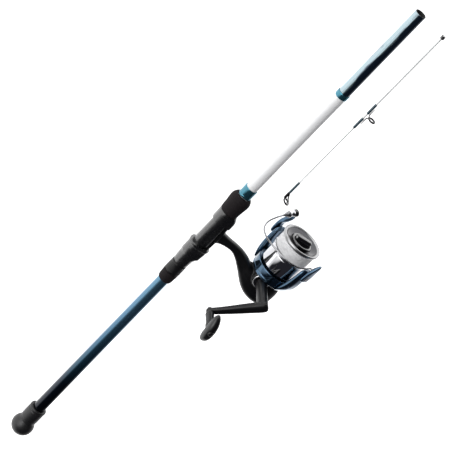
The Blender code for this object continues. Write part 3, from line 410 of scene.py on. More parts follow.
def make_finishes():
    made = {}

    def add(key, finish):
        made[key] = finish.material

    add("plastic", Finish("moulded_plastic", (0.003, 0.003, 0.0035), 0.36,
                          Specular_IOR_Level=0.34)
        .vary_roughness(160, 0.3, 0.42).grain(2600, 0.00005, 0.3))
    add("seat", Finish("satin_seat", (0.003, 0.003, 0.0035), 0.27, Specular_IOR_Level=1.0,
                       Coat_Weight=0.7, Coat_Roughness=0.16)
        .vary_roughness(220, 0.23, 0.32).grain(1500, 0.00004, 0.25))
    add("rubber", Finish("soft_rubber", (0.005, 0.005, 0.0055), 0.42)
        .vary_colour(300, (0.004, 0.004, 0.0045), (0.008, 0.008, 0.009)).grain(1800, 0.00008, 0.4))
    add("knob", Finish("knob_rubber", (0.003, 0.003, 0.0035), 0.3)
        .vary_roughness(200, 0.26, 0.36).grain(1800, 0.00005, 0.3))
    foam = Finish("foam", (0.005, 0.004, 0.0045), 0.8, Specular_IOR_Level=0.2)
    foam.vary_colour(900, (0.003, 0.0022, 0.0026), (0.01, 0.0072, 0.0085))
    add("foam", foam.grain(1400, 0.00025, 0.7).grain(420, 0.0003, 0.35))

    navy = Finish("navy_lacquer", (0.05, 0.16, 0.3), 0.16, 0.85, Coat_Weight=0.6,
                  Coat_Roughness=0.04)
    # Painted shade: the navy darkens to near black towards the butt cap, so the blank's highlight fades out there.
    navy.fade(0, 320, [
        (0.1, (0.003, 0.004, 0.008)), (0.3, (0.005, 0.014, 0.028)), (0.42, (0.015, 0.06, 0.1)),
        (0.6, (0.04, 0.12, 0.2)), (0.8, (0.07, 0.17, 0.27)), (1.0, (0.08, 0.2, 0.3))])
    add("navy", navy.grain(5000, 0.00002, 0.15))
    dark = Finish("dark_lacquer", (0.05, 0.1, 0.17), 0.1, 0.8, Coat_Weight=0.8,
                  Coat_Roughness=0.03)
    # Painted highlight: side points towards the bright side of the studio, so the light stripe lies where the
    # highlight falls; its wavy edge is the blank's printed wave.
    side = (BENCH.to_3x3().inverted() @ Vector((0, 0.95, 0.02))).normalized()
    add("dark", dark.wave_print_and_highlight(side, (0.015, 0.03, 0.055), (0.32, 0.42, 0.46)))
    add("white", Finish("white_lacquer", (0.64, 0.645, 0.65), 0.22, 0.0, Coat_Weight=0.6,
                        Coat_Roughness=0.05)
        .vary_colour(25, (0.62, 0.625, 0.635), (0.665, 0.667, 0.67), (1, 6, 6)))
    add("bore", Finish("bare_fibre", (0.02, 0.02, 0.022), 0.6)
        .threads(1.1, 0.0001, 0.5))
    add("trim", Finish("trim_lacquer", (0.05, 0.2, 0.27), 0.16, 0.9, Coat_Weight=0.5,
                       Coat_Roughness=0.04)
        .grain(4200, 0.00002, 0.2))
    blue = Finish("rotor_blue", (0.034, 0.084, 0.144), 0.11, 0.97, Coat_Weight=1.0,
                  Coat_Roughness=0.04)
    blue.vary_colour(45, (0.025, 0.068, 0.12), (0.042, 0.1, 0.168))
    add("blue", blue.grain(5200, 0.00002, 0.12))
    add("chrome", Finish("spool_chrome", (0.62, 0.62, 0.64), 0.05, 1.0)
        .vary_roughness(70, 0.035, 0.08, (0.2, 1, 1)))
    add("silver", Finish("satin_lip", (0.4, 0.4, 0.405), 0.28, 1.0)
        .vary_roughness(120, 0.24, 0.34).threads(0.22, 0.00002, 0.15))
    # Painted shade: the dish is polished silver like the lip, but darker here to stand for the shade and dark
    # reflections in the recess inside the lip.
    add("dish", Finish("turned_dish_painted_shade", (0.085, 0.085, 0.09), 0.16, 1.0)
        .vary_roughness(120, 0.12, 0.2))
    add("trim_chrome", Finish("chrome_trim", (0.5, 0.5, 0.51), 0.12, 1.0)
        .vary_roughness(200, 0.08, 0.18))
    add("steel", Finish("bright_steel", (0.3, 0.3, 0.31), 0.2, 1.0)
        .vary_roughness(300, 0.16, 0.28))
    add("gloss", Finish("gloss_black", (0.004, 0.004, 0.0045), 0.07, 0.0, Coat_Weight=1.0,
                        Specular_IOR_Level=0.9, Coat_Roughness=0.03)
        .vary_roughness(150, 0.05, 0.1))
    line = Finish("wound_line", (0.66, 0.66, 0.67), 0.38, 0.0, Coat_Weight=0.4)
    line.vary_colour(260, (0.58, 0.58, 0.59), (0.76, 0.76, 0.77), (8, 1, 1))
    add("line", line.threads(0.32, 0.00016, 0.8, distortion=0.6))
    wrap = Finish("thread_wrap", (0.02, 0.05, 0.07), 0.18, 0.2, TIP, Coat_Weight=0.9,
                  Coat_Roughness=0.05)
    add("wrap", wrap.threads(0.25, 0.00006, 0.6))
    add("pale", Finish("pale_lacquer", (0.62, 0.63, 0.63), 0.25, 0.0, TIP, Coat_Weight=0.5)
        .vary_colour(40, (0.57, 0.58, 0.58), (0.67, 0.68, 0.68), (1, 8, 8)))
    add("black_steel", Finish("black_steel", (0.03, 0.03, 0.032), 0.22, 0.9)
        .vary_roughness(400, 0.18, 0.3))
    add("ceramic", Finish("ring_ceramic", (0.05, 0.05, 0.055), 0.12, 0.0, Coat_Weight=0.6)
        .vary_roughness(400, 0.1, 0.16))
    add("brass", Finish("machined_brass", (0.7, 0.5, 0.2), 0.25, 1.0)
        .vary_roughness(300, 0.2, 0.34).grain(900, 0.00003, 0.3, (1, 8, 8)))
    add("felt", Finish("oiled_felt", (0.1, 0.085, 0.07), 0.9)
        .vary_colour(1200, (0.06, 0.05, 0.04), (0.15, 0.13, 0.11)).grain(1600, 0.0003, 0.8))
    return made


FINISHES = make_finishes()
SLOT_FINISH = {
    "soft_rubber": "rubber", "grip_foam": "foam", "blank_lacquer": "navy", "tip_lacquer": "pale",
    "rotor_blue": "blue", "trim_blue": "trim", "thread_blue": "wrap", "black_plastic": "plastic",
    "spool_bright": "chrome", "lip_silver": "silver", "chrome_trim": "trim_chrome",
    "steel": "steel", "ring_ceramic": "ceramic", "brass": "brass", "line": "line",
    "felt": "felt",
}
NODE_SLOT = {s["node"]: s["material_slot"] for s in frame["record"]["subparts"]}
NODE_BODY = {node: body for body, nodes in frame["record"]["behaviour"]["bodies"].items()
             for node in nodes}


def put_on(obj, node, finish=None, sharp=35):
    """Rides the piece on its node's body, stands it for the node and gives it its finish."""
    obj.data.transform(obj.matrix_world)
    obj.matrix_world = Matrix.Identity(4)
    obj.data.materials.clear()
    obj.data.materials.append(FINISHES[finish or SLOT_FINISH[NODE_SLOT[node]]])
    obj.data.shade_smooth()
    obj.data.set_sharp_from_angle(angle=radians(sharp))
    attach(obj, NODE_BODY[node])
    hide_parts(node)


def refinish(obj, finish, place, chosen):
    """Gives another finish to the faces that are chosen by x and the distance from the axis."""
    obj.data.materials.append(FINISHES[finish])
    index = len(obj.data.materials) - 1
    for face in obj.data.polygons:
        x, y, z = place.inverted() @ face.center / MM
        if chosen(x, hypot(y, z)):
            face.material_index = index


# ---------------------------------------------------------------- rod


def make_blank():
    outside = [(12, 8.6), (161, 8.5), (330, 8.25), (WHITE_X, 8.22), (505, 8.2), (FRONT_X, 8.15),
               (690, 8.12), (834.4, 7.85), (835, 7.5)]
    inside = [(835, 6.75), (834.6, 6.55), (700, 6.6), (12, 7.2)]
    obj = lathe("blank", outside + inside, BENCH, hollow=True, soft=0)
    put_on(obj, "rod_blank", "navy")
    refinish(obj, "white", BENCH, lambda x, r: WHITE_X < x <= FRONT_X)
    refinish(obj, "dark", BENCH, lambda x, r: x > FRONT_X)
    refinish(obj, "bore", BENCH, lambda x, r: r < 7.4)


def make_butt_cap():
    ball = [(-2 + 16 * cos(t), 16 * sin(t)) for t in np.linspace(pi, radians(48), 28)]
    sleeve = [(10.6, 12.0), (13, 11.8), (14, 12.3), (30, 12.3), (31, 11.8), (31.8, 11.8),
              (32.6, 12.5), (35.2, 12.4), (36, 11.4), (36, 8.8), (12, 8.8), (12, 0)]
    put_on(lathe("butt_cap_skin", ball + sleeve, BENCH, soft=0.5), "butt_cap")


def collar(name, node, profile, bore, soft, flute=None, sides=96):
    closing = [(profile[-1][0], bore), (profile[0][0], bore)]
    put_on(lathe(name, profile + closing, BENCH, sides=sides, hollow=True, soft=soft, flute=flute),
           node)


def make_grips():
    collar("rear_grip_foam", "rear_grip",
           [(319, 8.9), (320, 9.8), (323, 10.3), (330, 10.7), (334.6, 11.1), (335.7, 10.7)], 8.5,
           soft=0.8)
    collar("fore_grip_foam", "fore_grip",
           [(457.3, 12.3), (458.4, 12.9), (469.3, 13.7), (477, 14.6), (480.4, 14.7), (482.6, 14.5),
            (485.6, 13.2), (488, 11.5), (489, 9.9)], 8.5, soft=1.4)

    def knurl(at, angle):
        return 0.22 * (abs(sin(angle * 18)) - 0.6) if 339 < at < 351.5 else 0

    collar("lock_nut_knurled", "seat_lock_nut",
           [(336, 10.4), (336.4, 11.1), (338.6, 11.2), (339.2, 11.0), (345, 11.0), (351.2, 10.9),
            (352, 11.1), (353.6, 10.9), (354, 10.3)], 10.0, soft=0.2, flute=knurl, sides=288)
    collar("trim_collar_band", "trim_collar",
           [(489.3, 8.9), (489.8, 9.3), (492.2, 9.35), (492.5, 9.05), (493.1, 9.05), (493.4, 9.35),
            (503.2, 9.35), (504.4, 9.3), (505, 8.9)], 8.5, soft=0.25)
    collar("front_wrap_band", "front_wrap",
           [(FRONT_X, 8.6), (682.7, 9.0), (689.3, 9.0), (690, 8.6)], 8.46, soft=0.35)


SEAT_SIDES = 96


def seat_ring(x, top, low, half_width):
    """Round above the axis and boxy below it, where the reel's foot lies."""
    points = []
    for t in angles(SEAT_SIDES, 0.5):
        c, s = cos(t), sin(t)
        if s > 0:
            points.append((x, half_width * signed_power(c, 0.94), top * s))
        else:
            points.append((x, half_width * signed_power(c, 0.5), low * signed_power(s, 0.5)))
    return points


def round_ring(x, radius):
    return [(x, radius * cos(t), radius * sin(t)) for t in angles(SEAT_SIDES, 0.5)]


def make_seat():
    rings = [round_ring(337.2, 9.3), round_ring(337.6, 9.7), round_ring(395, 9.7),
             seat_ring(396.2, 9.9, 10.3, 9.8), seat_ring(437.6, 9.9, 10.3, 9.8),
             seat_ring(438, 9.6, 10.0, 9.5), round_ring(438, 8.55), round_ring(337.2, 8.55)]
    put_on(skin("seat_tube", rings, BENCH, closed=True), "reel_seat", "seat")

    # x, top, low, half width: a step up to the lip that takes the foot
    rows = [(374.3, 12.5, 13.2, 12.3), (375, 12.9, 13.8, 12.6), (386, 12.9, 15.4, 12.5),
            (389.9, 12.7, 15.4, 12.4), (390.5, 13.2, 15.9, 12.8), (391.2, 13.8, 16.2, 13.1),
            (394.5, 13.8, 16.2, 13.1), (395, 13.4, 15.9, 12.8)]
    rings = [round_ring(*row) for row in
             [(354.3, 10.3), (354.8, 10.8), (359, 11.0), (359.4, 11.4), (368, 12.0)]]
    rings += [seat_ring(*row) for row in rows]
    rings += [round_ring(395, 10.0), round_ring(354.3, 10.0)]
    put_on(skin("sliding_hood_shell", rings, BENCH, closed=True), "sliding_hood", "seat",
           sharp=28)

    rows = [(438.3, 11.5, 15.3, 11.8), (438.8, 12.2, 15.9, 12.4), (448, 12.5, 15.8, 12.6),
            (452, 12.6, 15.0, 12.7), (455.6, 12.6, 13.2, 12.6), (457, 12.4, 12.6, 12.4)]
    rings = [seat_ring(*row) for row in rows] + [round_ring(457, 8.6), round_ring(438.3, 8.6)]
    put_on(skin("fixed_hood_shell", rings, BENCH, closed=True), "fixed_hood", "seat", sharp=28)


# ---------------------------------------------------------------- reel body

# z from the rod axis, rear x, front x, half thickness, squareness
BODY_ROWS = [
    (-14.2, 405.5, 430.5, 7.0, 3.0), (-17, 408, 427, 6.4, 3.0), (-22, 409.8, 424.6, 6.0, 3.0),
    (-32, 410.4, 422.4, 5.8, 3.0), (-42, 408.8, 420.8, 5.9, 3.0), (-52, 402.5, 418.6, 6.4, 3.0),
    (-60, 395.5, 415.6, 7.6, 3.0), (-68, 388, 411.6, 9.6, 3.0), (-75, 381, 407.4, 12.2, 3.2),
    (-83, 374, 405.6, 14.6, 3.4), (-93, 368, 405.4, 16.3, 3.6), (-104, 364.4, 405.4, 16.8, 3.6),
    (-114, 363.2, 405.4, 16.4, 3.4), (-122, 365, 405, 14.4, 3.2),
    (-127.5, 369.5, 402.4, 11.4, 3.0), (-130.6, 376.5, 396.5, 7.2, 2.6),
]
NOSE_FLAT = 16.7
# x, z and the station of the head's top
COVER_SCREWS = [(376.1, -88.7, 14.2), (373.6, -121.6, 13.7), (397.4, -121.2, 13.5)]


def body_skin(name):
    rings = []
    for z, rear, front, half, power in blended(BODY_ROWS, 4):
        middle = (rear + front) / 2
        rings.append([(middle + dx, y, z) for dx, y in oval((front - rear) / 2, half, 72, power)])
    return skin(name, rings, BENCH)


def foot():
    rows = [(385.8, 12.6, 3.4), (387.4, 12.9, 5.6), (398, 13.9, 7.6), (412, 14.4, 7.9),
            (424, 14.4, 7.9), (440, 13.9, 7.6), (449.6, 12.9, 5.6), (451.4, 12.6, 3.4)]
    rings = [[(x, y, z) for y, z in [(-half, -10.6), (half, -10.6), (half, -low + 0.6),
                                     (half * 0.85, -low), (-half * 0.85, -low),
                                     (-half, -low + 0.6)]]
             for x, low, half in blended(rows, 4)]
    return skin("foot", rings, BENCH)


def make_body():
    nose = lathe("nose", [(403.8, 26.6), (414.2, 26.6), (415, 25.2), (415.1, 20.5), (420.8, 20.5),
                          (421, 12.6), (426.5, 12.6)], BENCH, centre=(0, -DROP), sides=160, soft=0)
    joined(nose, [box("flats", (390, -NOSE_FLAT, -140), (430, NOSE_FLAT, -70), BENCH)],
           "INTERSECT")
    boss = lathe("boss", [(-8, 13.4), (-15.6, 13.4), (-16.2, 12.6), (-17.1, 12.5), (-17.4, 12.1)],
                 BENCH, "Y", 128, CRANK, soft=0)
    whole = joined(body_skin("body_shell"), [foot(), nose, boss])
    moulded(whole, 0.6, 5)
    bored = lathe("recess", [(-30, 11.5), (-16.5, 11.5), (-16.3, 5.0), (-10, 5.0)], BENCH, "Y", 96,
                  CRANK, soft=0)
    front_bore = drill(419.4, 440, 9.0, BENCH, "X", (0, -DROP), 96)
    joined(whole, [bored, front_bore], "DIFFERENCE")
    cover = whole.copy()
    cover.data = whole.data.copy()
    cover.name = "side_cover_shell"
    bpy.context.scene.collection.objects.link(cover)
    joined(whole, [box("cover_room", (340, 5.0, -145), (440, 40, -73.7), BENCH)], "DIFFERENCE")
    joined(cover, [box("cover_block", (340, 5.3, -145), (403.4, 40, -74.0), BENCH)], "INTERSECT")
    nose_side = joined(lathe("nose_side", [(403.7, 26.5), (414.2, 26.5), (415, 25.2),
                                           (415.1, 20.5), (418, 20.5)], BENCH,
                             centre=(0, -DROP), sides=128, soft=0),
                       [box("half", (390, 4.4, -140), (430, NOSE_FLAT - 0.1, -70), BENCH)],
                       "INTERSECT")
    joined(whole, [nose_side])
    put_on(whole, "reel_body", "plastic", sharp=40)
    holes = [drill(9, 30, 2.6, BENCH, "Y", (z, x)) for x, z, _ in COVER_SCREWS]
    cap_hole = drill(12, 30, 6.0, BENCH, "Y", CRANK, 64)
    joined(cover, [*holes, cap_hole], "DIFFERENCE")
    put_on(cover, "side_cover", "plastic", sharp=40)


def make_body_trim():
    put_on(lathe("boss_ring_bright", [(-17.7, 11.3), (-18.5, 11.3), (-19.1, 10.6), (-19.1, 9.2),
                                      (-18.5, 8.3), (-17.7, 8.3)], CRANK_LINE, "Y", 128,
                 hollow=True, soft=0.25), "boss_ring", "trim_chrome")
    cap = lathe("axle_cap_slotted", [(14.6, 5.6), (17.2, 5.6), (17.25, 8.6), (18.8, 8.6),
                                     (19.4, 7.8), (19.4, 3.4), (19.0, 3.0), (19.0, 0)],
                CRANK_LINE, "Y", 96, soft=0.25)
    joined(cap, [box("slot", (-6.6, 18.5, -0.8), (6.6, 22, 0.8), CRANK_LINE)], "DIFFERENCE")
    put_on(cap, "axle_cap", "plastic")
    for i, (x, z, head) in enumerate(COVER_SCREWS):
        screw = lathe(f"cover_screw_head_{i + 1}",
                      [(0, 1.2), (head - 2, 1.2), (head - 1.9, 2.2), (head - 0.7, 2.2),
                       (head, 1.5), (head, 0)], BENCH, "Y", 48, (z, x), soft=0.3)
        cross = [box("slot", (x - a, head - 0.9, z - b), (x + a, head + 1, z + b), BENCH)
                 for a, b in ((1.3, 0.3), (0.3, 1.3))]
        joined(screw, cross, "DIFFERENCE")
        put_on(screw, f"cover_screw_{i + 1}", "steel")


# ---------------------------------------------------------------- rotor and bail

# x, inner and outer distance from the reel's axis, half width
ARM_ROWS = [
    (409.8, 28.5, 29.9, 13.0), (412.5, 28.5, 32.2, 13.8), (418, 28.7, 35.6, 13.6),
    (425, 29.4, 38.2, 12.6), (433, 30.8, 39.7, 11.6), (441, 32.0, 40.3, 10.8),
    (450, 32.8, 40.5, 9.8), (457, 33.4, 39.9, 8.4), (461, 34.8, 38.2, 5.4),
]


def rotor_arm(side, name="arm"):
    """The outer face has a flat crest with slopes beside it, so it catches light in facets."""
    rings = []
    for x, inner, outer, half in blended(ARM_ROWS, 4):
        middle = (inner + outer) / 2
        ring = []
        for y, r in oval(half, (outer - inner) / 2, 96, 3.2):
            crest = min(1, max(0, (abs(y) / half - 0.35) / 0.5))
            ring.append((x, y, side * (middle + (r - 0.9 * crest if r > 0 else r))))
        rings.append(ring)
    return skin(name, rings, ROTOR)


def side_box(name, low, high, side):
    (x0, y0, r0), (x1, y1, r1) = low, high
    z0, z1 = sorted((side * r0, side * r1))
    return box(name, (x0, y0, z0), (x1, y1, z1), ROTOR)


def make_rotor():
    profile = [(409.5, 29.4), (410.2, 30), (413.4, 30), (413.9, 29.6), (414.5, 29.6), (415, 30),
               (423.2, 30), (424, 29.4), (424, 28.4), (418.4, 28.4), (418.4, 23.6), (444, 23.6),
               (444, 4.6), (437, 4.6), (437, 7), (440, 7), (440, 21.7), (415.6, 21.7),
               (415.6, 28.4), (409.5, 28.4)]
    drum = lathe("rotor_drum", profile, ROTOR, sides=192, hollow=True, soft=0.25)
    for side in (-1, 1):
        arm = rotor_arm(side)
        hole = drill(side * 35, side * 60, 1.95, ROTOR, "Z", (BAIL_X, 0), 32)
        joined(arm, [side_box("seat", (425.5, -20, 38.0), (447.5, 20, 50), side), hole],
               "DIFFERENCE")
        joined(drum, [arm])
    put_on(drum, "rotor", "blue", sharp=30)
    for side, node in ((1, "arm_cover_roller"), (-1, "arm_cover_lever")):
        cover = joined(rotor_arm(side, node + "_skin"),
                       [side_box("cover", (425.8, -20, 38.3), (447.2, 20, 50), side)],
                       "INTERSECT")
        put_on(cover, node, "blue", sharp=30)


def plate(name, side, rows):
    """A flat piece on a rotor arm, from rows of x, inner, outer, half width and y."""
    rings = []
    for x, inner, outer, half, middle_y in blended(rows, 5):
        outline = oval(half, (outer - inner) / 2, 64, 3.4)
        rings.append([(x, middle_y + y, side * ((inner + outer) / 2 + r)) for y, r in outline])
    return skin(name, rings, ROTOR)


def pivot_room(side):
    """The screw's hole and the seat of its head."""
    return [drill(side * 35, side * 60, 1.9, ROTOR, "Z", (BAIL_X, 0), 32),
            drill(side * 43.0, side * 60, 3.7, ROTOR, "Z", (BAIL_X, 0), 64)]


def make_bail():
    arm = plate("bail_arm_plate", 1, [
        (445.2, 42.0, 44.0, 4.0, 0), (447.5, 41.0, 44.8, 6.6, 0), (452, 40.9, 45.2, 7.4, 0),
        (458, 40.9, 45.6, 7.2, 0), (464, 40.6, 46.0, 6.6, 0.6), (469, 38.6, 46.0, 5.6, 2.0),
        (474, 37.4, 45.4, 3.2, 4.9), (478, 37.0, 45.2, 1.8, 7.0), (482, 37.2, 45.0, 1.0, 6.9)])
    lug = moved(lathe("lug", [(4.5, 5.2), (7.0, 5.4), (7.4, 4.8)], ROTOR, "Y", 64, soft=0.2),
                ROTOR.inverted() @ ROLLER)
    joined(arm, [lug])
    joined(arm, pivot_room(1), "DIFFERENCE")
    put_on(arm, "bail_arm", "blue", sharp=32)
    arm.data.materials.append(FINISHES["gloss"])
    for face in arm.data.polygons:
        x, y, z = ROLLER.inverted() @ face.center / MM
        if y > 4.4 and hypot(x, z) < 5.6:
            face.material_index = 1
    lever = plate("bail_lever_plate", -1, [
        (445.2, 42.0, 44.0, 4.0, 0), (447.5, 41.0, 44.8, 6.6, 0), (452, 40.9, 45.2, 7.4, 0),
        (458, 40.9, 45.8, 7.0, 0), (464, 40.8, 46.4, 6.2, 0), (470, 41.4, 47.2, 4.8, 0),
        (476, 43.2, 47.8, 3.2, 0), (480.6, 45.2, 47.8, 1.6, 0)])
    joined(lever, pivot_room(-1), "DIFFERENCE")
    put_on(lever, "bail_lever", "blue", sharp=32)
    for side, node in ((1, "pivot_screw_roller"), (-1, "pivot_screw_lever")):
        screw = lathe(node + "_head", [(side * 36, 1.6), (side * 43.25, 1.6), (side * 43.3, 3.3),
                                       (side * 45.0, 3.3), (side * 45.6, 2.6), (side * 45.6, 0)],
                      ROTOR, "Z", 64, (BAIL_X, 0), soft=0.25)
        slot = side_box("slot", (BAIL_X - 2.6, -0.4, 44.8), (BAIL_X + 2.6, 0.4, 47), side)
        put_on(joined(screw, [slot], "DIFFERENCE"), node, "trim_chrome")


WIRE_RADIUS = 1.15
# x along the reel, y and z across it
BAIL_WIRE = [
    (471.5, -17.5, 42.8), (464.0, -26.0, 42.2), (459.2, -33.0, 37.6), (457.2, -38.0, 30.0),
    (457.2, -41.2, 18.0), (458.8, -41.8, 6.0), (460.0, -40.2, -5.0), (460.6, -36.8, -16.0),
    (461.4, -30.0, -26.5), (463.2, -20.5, -34.6), (465.6, -11.0, -38.2), (467.5, -3.0, -38.8),
    (468.0, -1.0, -41.5),
]


def make_wire():
    to_rotor = ROTOR.inverted() @ ROLLER
    cone = [(-4.5, 4.5), (-5.2, 4.5), (-6.0, 4.2), (-7.2, 3.6), (-8.5, 2.9), (-10.2, 2.1),
            (-12.0, 1.5)]
    start = [to_rotor @ Vector((0, y * MM, 0)) / MM for y, _ in cone]
    lead = start[-1] + (start[-1] - start[-2]) * 0.8
    bend = [Vector(p) for p in blended([lead, *BAIL_WIRE], 8)]
    radii = [radius for _, radius in cone] + [WIRE_RADIUS] * len(bend)
    wire = bar("bail_wire_bent", start + bend, radii, ROTOR, sides=32)
    put_on(wire, "bail_wire", "steel", sharp=50)
    roller = lathe("line_roller_grooved", [(-4.0, 4.9), (-3.2, 4.9), (-2.4, 4.2), (0, 3.7),
                                           (2.4, 4.2), (3.2, 4.9), (4.0, 4.9), (4.0, 1.6),
                                           (-4.0, 1.6)], ROLLER, "Y", 96, hollow=True, soft=0.3)
    put_on(roller, "line_roller", "chrome")
    cap = lathe("roller_cap_round", [(-4.2, 1.3), (7.6, 1.3), (7.7, 5.2), (8.6, 5.2), (9.4, 4.2),
                                     (9.4, 2.8), (9.1, 2.5), (9.1, 0)], ROLLER, "Y", 96, soft=0.3)
    put_on(cap, "roller_cap", "gloss")


# ---------------------------------------------------------------- spool and drag


def make_spool():
    profile = [(426.5, 26.3), (427.4, 26.5), (448.4, 26.5), (448.8, 26.2), (449.4, 26.2),
               (449.8, 26.5), (451.4, 26.5), (452.2, 27.4), (454.0, 27.4), (454.3, 18),
               (471.6, 18), (471.7, 24.2), (476, 24.2), (475.6, 23), (473.2, 17.4),
               (473.2, 15.9), (462, 15.9), (462, 2.75), (458, 2.75), (458, 16.2), (451.8, 16.2),
               (451.8, 24.9), (426.5, 24.9)]
    spool = lathe("spool_turned", profile, REEL, sides=192, hollow=True, soft=0.3)
    put_on(spool, "spool", "chrome")
    # Painted shade: the dish inside the lip gets the darker metal.
    refinish(spool, "dish", REEL, lambda x, r: x > 460 and r < 24.3)
    lip = [(472, 27.6), (473.4, 28.6), (475, 29), (476.4, 28.8), (477.2, 28), (477.0, 26.6),
           (475.6, 24.5), (472, 24.5)]
    put_on(lathe("spool_lip_turned", lip, REEL, sides=192, hollow=True, soft=0.5), "spool_lip",
           "silver")

    def lay(at, angle):
        return 0.1 * sin(at * 5.1 + 2 * angle) + 0.08 * sin(at * 3.7 - 3 * angle)

    stations = np.linspace(454.7, 471.3, 60)
    winding = [(x, 26.7 - 0.6 * ((x - 463) / 8.4) ** 4) for x in stations]
    put_on(lathe("line_wound", winding + [(471.4, 18.3), (454.6, 18.3)], REEL, sides=192,
                 hollow=True, soft=0, flute=lay), "line_winding", "line", sharp=60)


def make_drag_knob():
    disc = lathe("drag_knob_grip", [(468.2, 14.6), (473.8, 15.3), (475.2, 15.2), (476.0, 14.2),
                                    (476.2, 12.8), (475.4, 11.8), (475.2, 9), (475.2, 0)], REEL,
                 sides=128, soft=0.4)
    rows = [(474.6, 13.0, 4.6), (476.6, 13.0, 4.4), (478.9, 12.8, 3.8), (480.4, 12.2, 3.2),
            (481.2, 11.3, 2.5), (481.4, 10.2, 1.9)]
    rings = []
    for x, long, wide in blended(rows, 3):
        ring = []
        for t in angles(96):
            waist = 0.62 + 0.38 * abs(cos(t)) ** 1.5
            ring.append((x, wide * waist * sin(t) * 1.6, long * cos(t)))
        rings.append(ring)
    joined(disc, [skin("grip", rings, REEL)])
    put_on(disc, "drag_knob", "gloss", sharp=30)


# ---------------------------------------------------------------- crank


def make_crank():
    shank = lathe("crank_moulding",
                  [(-17.7, 6.6), (-18.2, 7.0), (-24, 7.2), (-62, 7.6), (-70, 7.6), (-72.8, 6.4),
                   (-74.4, 4.4), (-75.0, 2.2), (-75.2, 0)], ARM, "Y", 96, soft=1.2)
    # x, half width, half thickness, rise from the elbow's height
    rows = [(-7.6, 2.6, 2.2, 0), (-7.0, 4.6, 3.6, 0), (-5.6, 6.2, 4.8, 0), (-2, 7.2, 5.6, 0),
            (6, 7.3, 5.6, 0), (16, 6.9, 5.2, -0.1), (30, 6.3, 4.8, -0.4), (45, 5.5, 4.2, -0.7),
            (58, 4.9, 3.7, -0.6), (64, 4.7, 3.4, -0.3), (68.5, 4.6, 3.2, 0), (71.2, 3.8, 2.9, 0),
            (72.8, 2.4, 2.4, 0), (73.2, 1.2, 1.6, 0)]
    rings = [[(x, ELBOW_Y + rise + dy, z) for z, dy in oval(half, thick, 64, 2.7)]
             for x, half, thick, rise in blended(rows, 5)]
    joined(shank, [skin("arm", rings, ARM)])
    moulded(shank, 0.5, 8)
    joined(shank, [drill(-27.5, 0, 4.3, ARM, "Y")], "DIFFERENCE")
    put_on(shank, "crank_arm", "plastic", sharp=45)
    put_on(lathe("knob_spindle_round", [(-64.6, 2.6), (-65.2, 3.3), (-66.4, 3.4), (-66.5, 2.0),
                                        (-104, 2.0)], KNOB, "Y", 48, soft=0.2), "knob_spindle")


def make_knob():
    back = ELBOW_Y - 4.6
    middle = ELBOW_Y - 39.0  # of the paddle
    floor = middle + 3.2  # of the counterbore
    half_length = 23.0
    stem = lathe("knob_paddle", [(back, 4.6), (back - 0.6, 5.4), (-77, 5.9), (-84, 5.5),
                                 (-94, 5.7), (-100, 6.5), (-107, 6.0)], KNOB, "Y", 96, soft=0.5)
    rings = []
    for u in np.linspace(-1, 1, 41):
        x = half_length * sin(u * pi / 2)
        share = max(1 - (abs(x) / half_length) ** 2.6, 0.02) ** 0.5
        bow = 6.0 * (abs(x) / half_length) ** 2
        rings.append([(x, middle + bow + dy, z)
                      for z, dy in oval(max(6.8 * share, 0.9), max(8.0 * share, 1.0), 64, 2.4)])
    joined(stem, [skin("paddle", rings, KNOB)])
    moulded(stem, 0.5, 6)
    bore = drill(-130, 0, 2.3, KNOB, "Y")
    counterbore = drill(-130, floor, 3.7, KNOB, "Y")
    joined(stem, [bore, counterbore], "DIFFERENCE")
    put_on(stem, "knob", "knob", sharp=45)
    put_on(lathe("knob_cap_round", [(floor - 0.3, 3.4), (middle - 8.2, 3.4), (middle - 9.0, 2.4),
                                   (middle - 9.0, 0)], KNOB, "Y", 48, soft=0.4),
           "knob_cap", "knob")


# ---------------------------------------------------------------- loose tip section


def tip_radius(x):
    return 1.45 - 0.5 * x / TIP_LENGTH


def line_ring(name, at, centre_z, outer, inner, half):
    profile = [(at + half * share, radius) for share, radius in
               [(-1, inner + 0.15), (-1, outer - 0.3), (-0.5, outer - 0.05),
                (0.5, outer - 0.05), (1, outer - 0.3), (1, inner + 0.15), (0.4, inner),
                (-0.4, inner)]]
    return lathe(name, profile, TIP, sides=64, centre=(0.0, centre_z), hollow=True, soft=0.15)


def leg(points, radii):
    path = [Vector(p) for p in blended(points, 5)]
    spread = np.interp(np.linspace(0, 1, len(path)), np.linspace(0, 1, len(radii)), radii)
    return bar("leg", path, spread, TIP, sides=16)


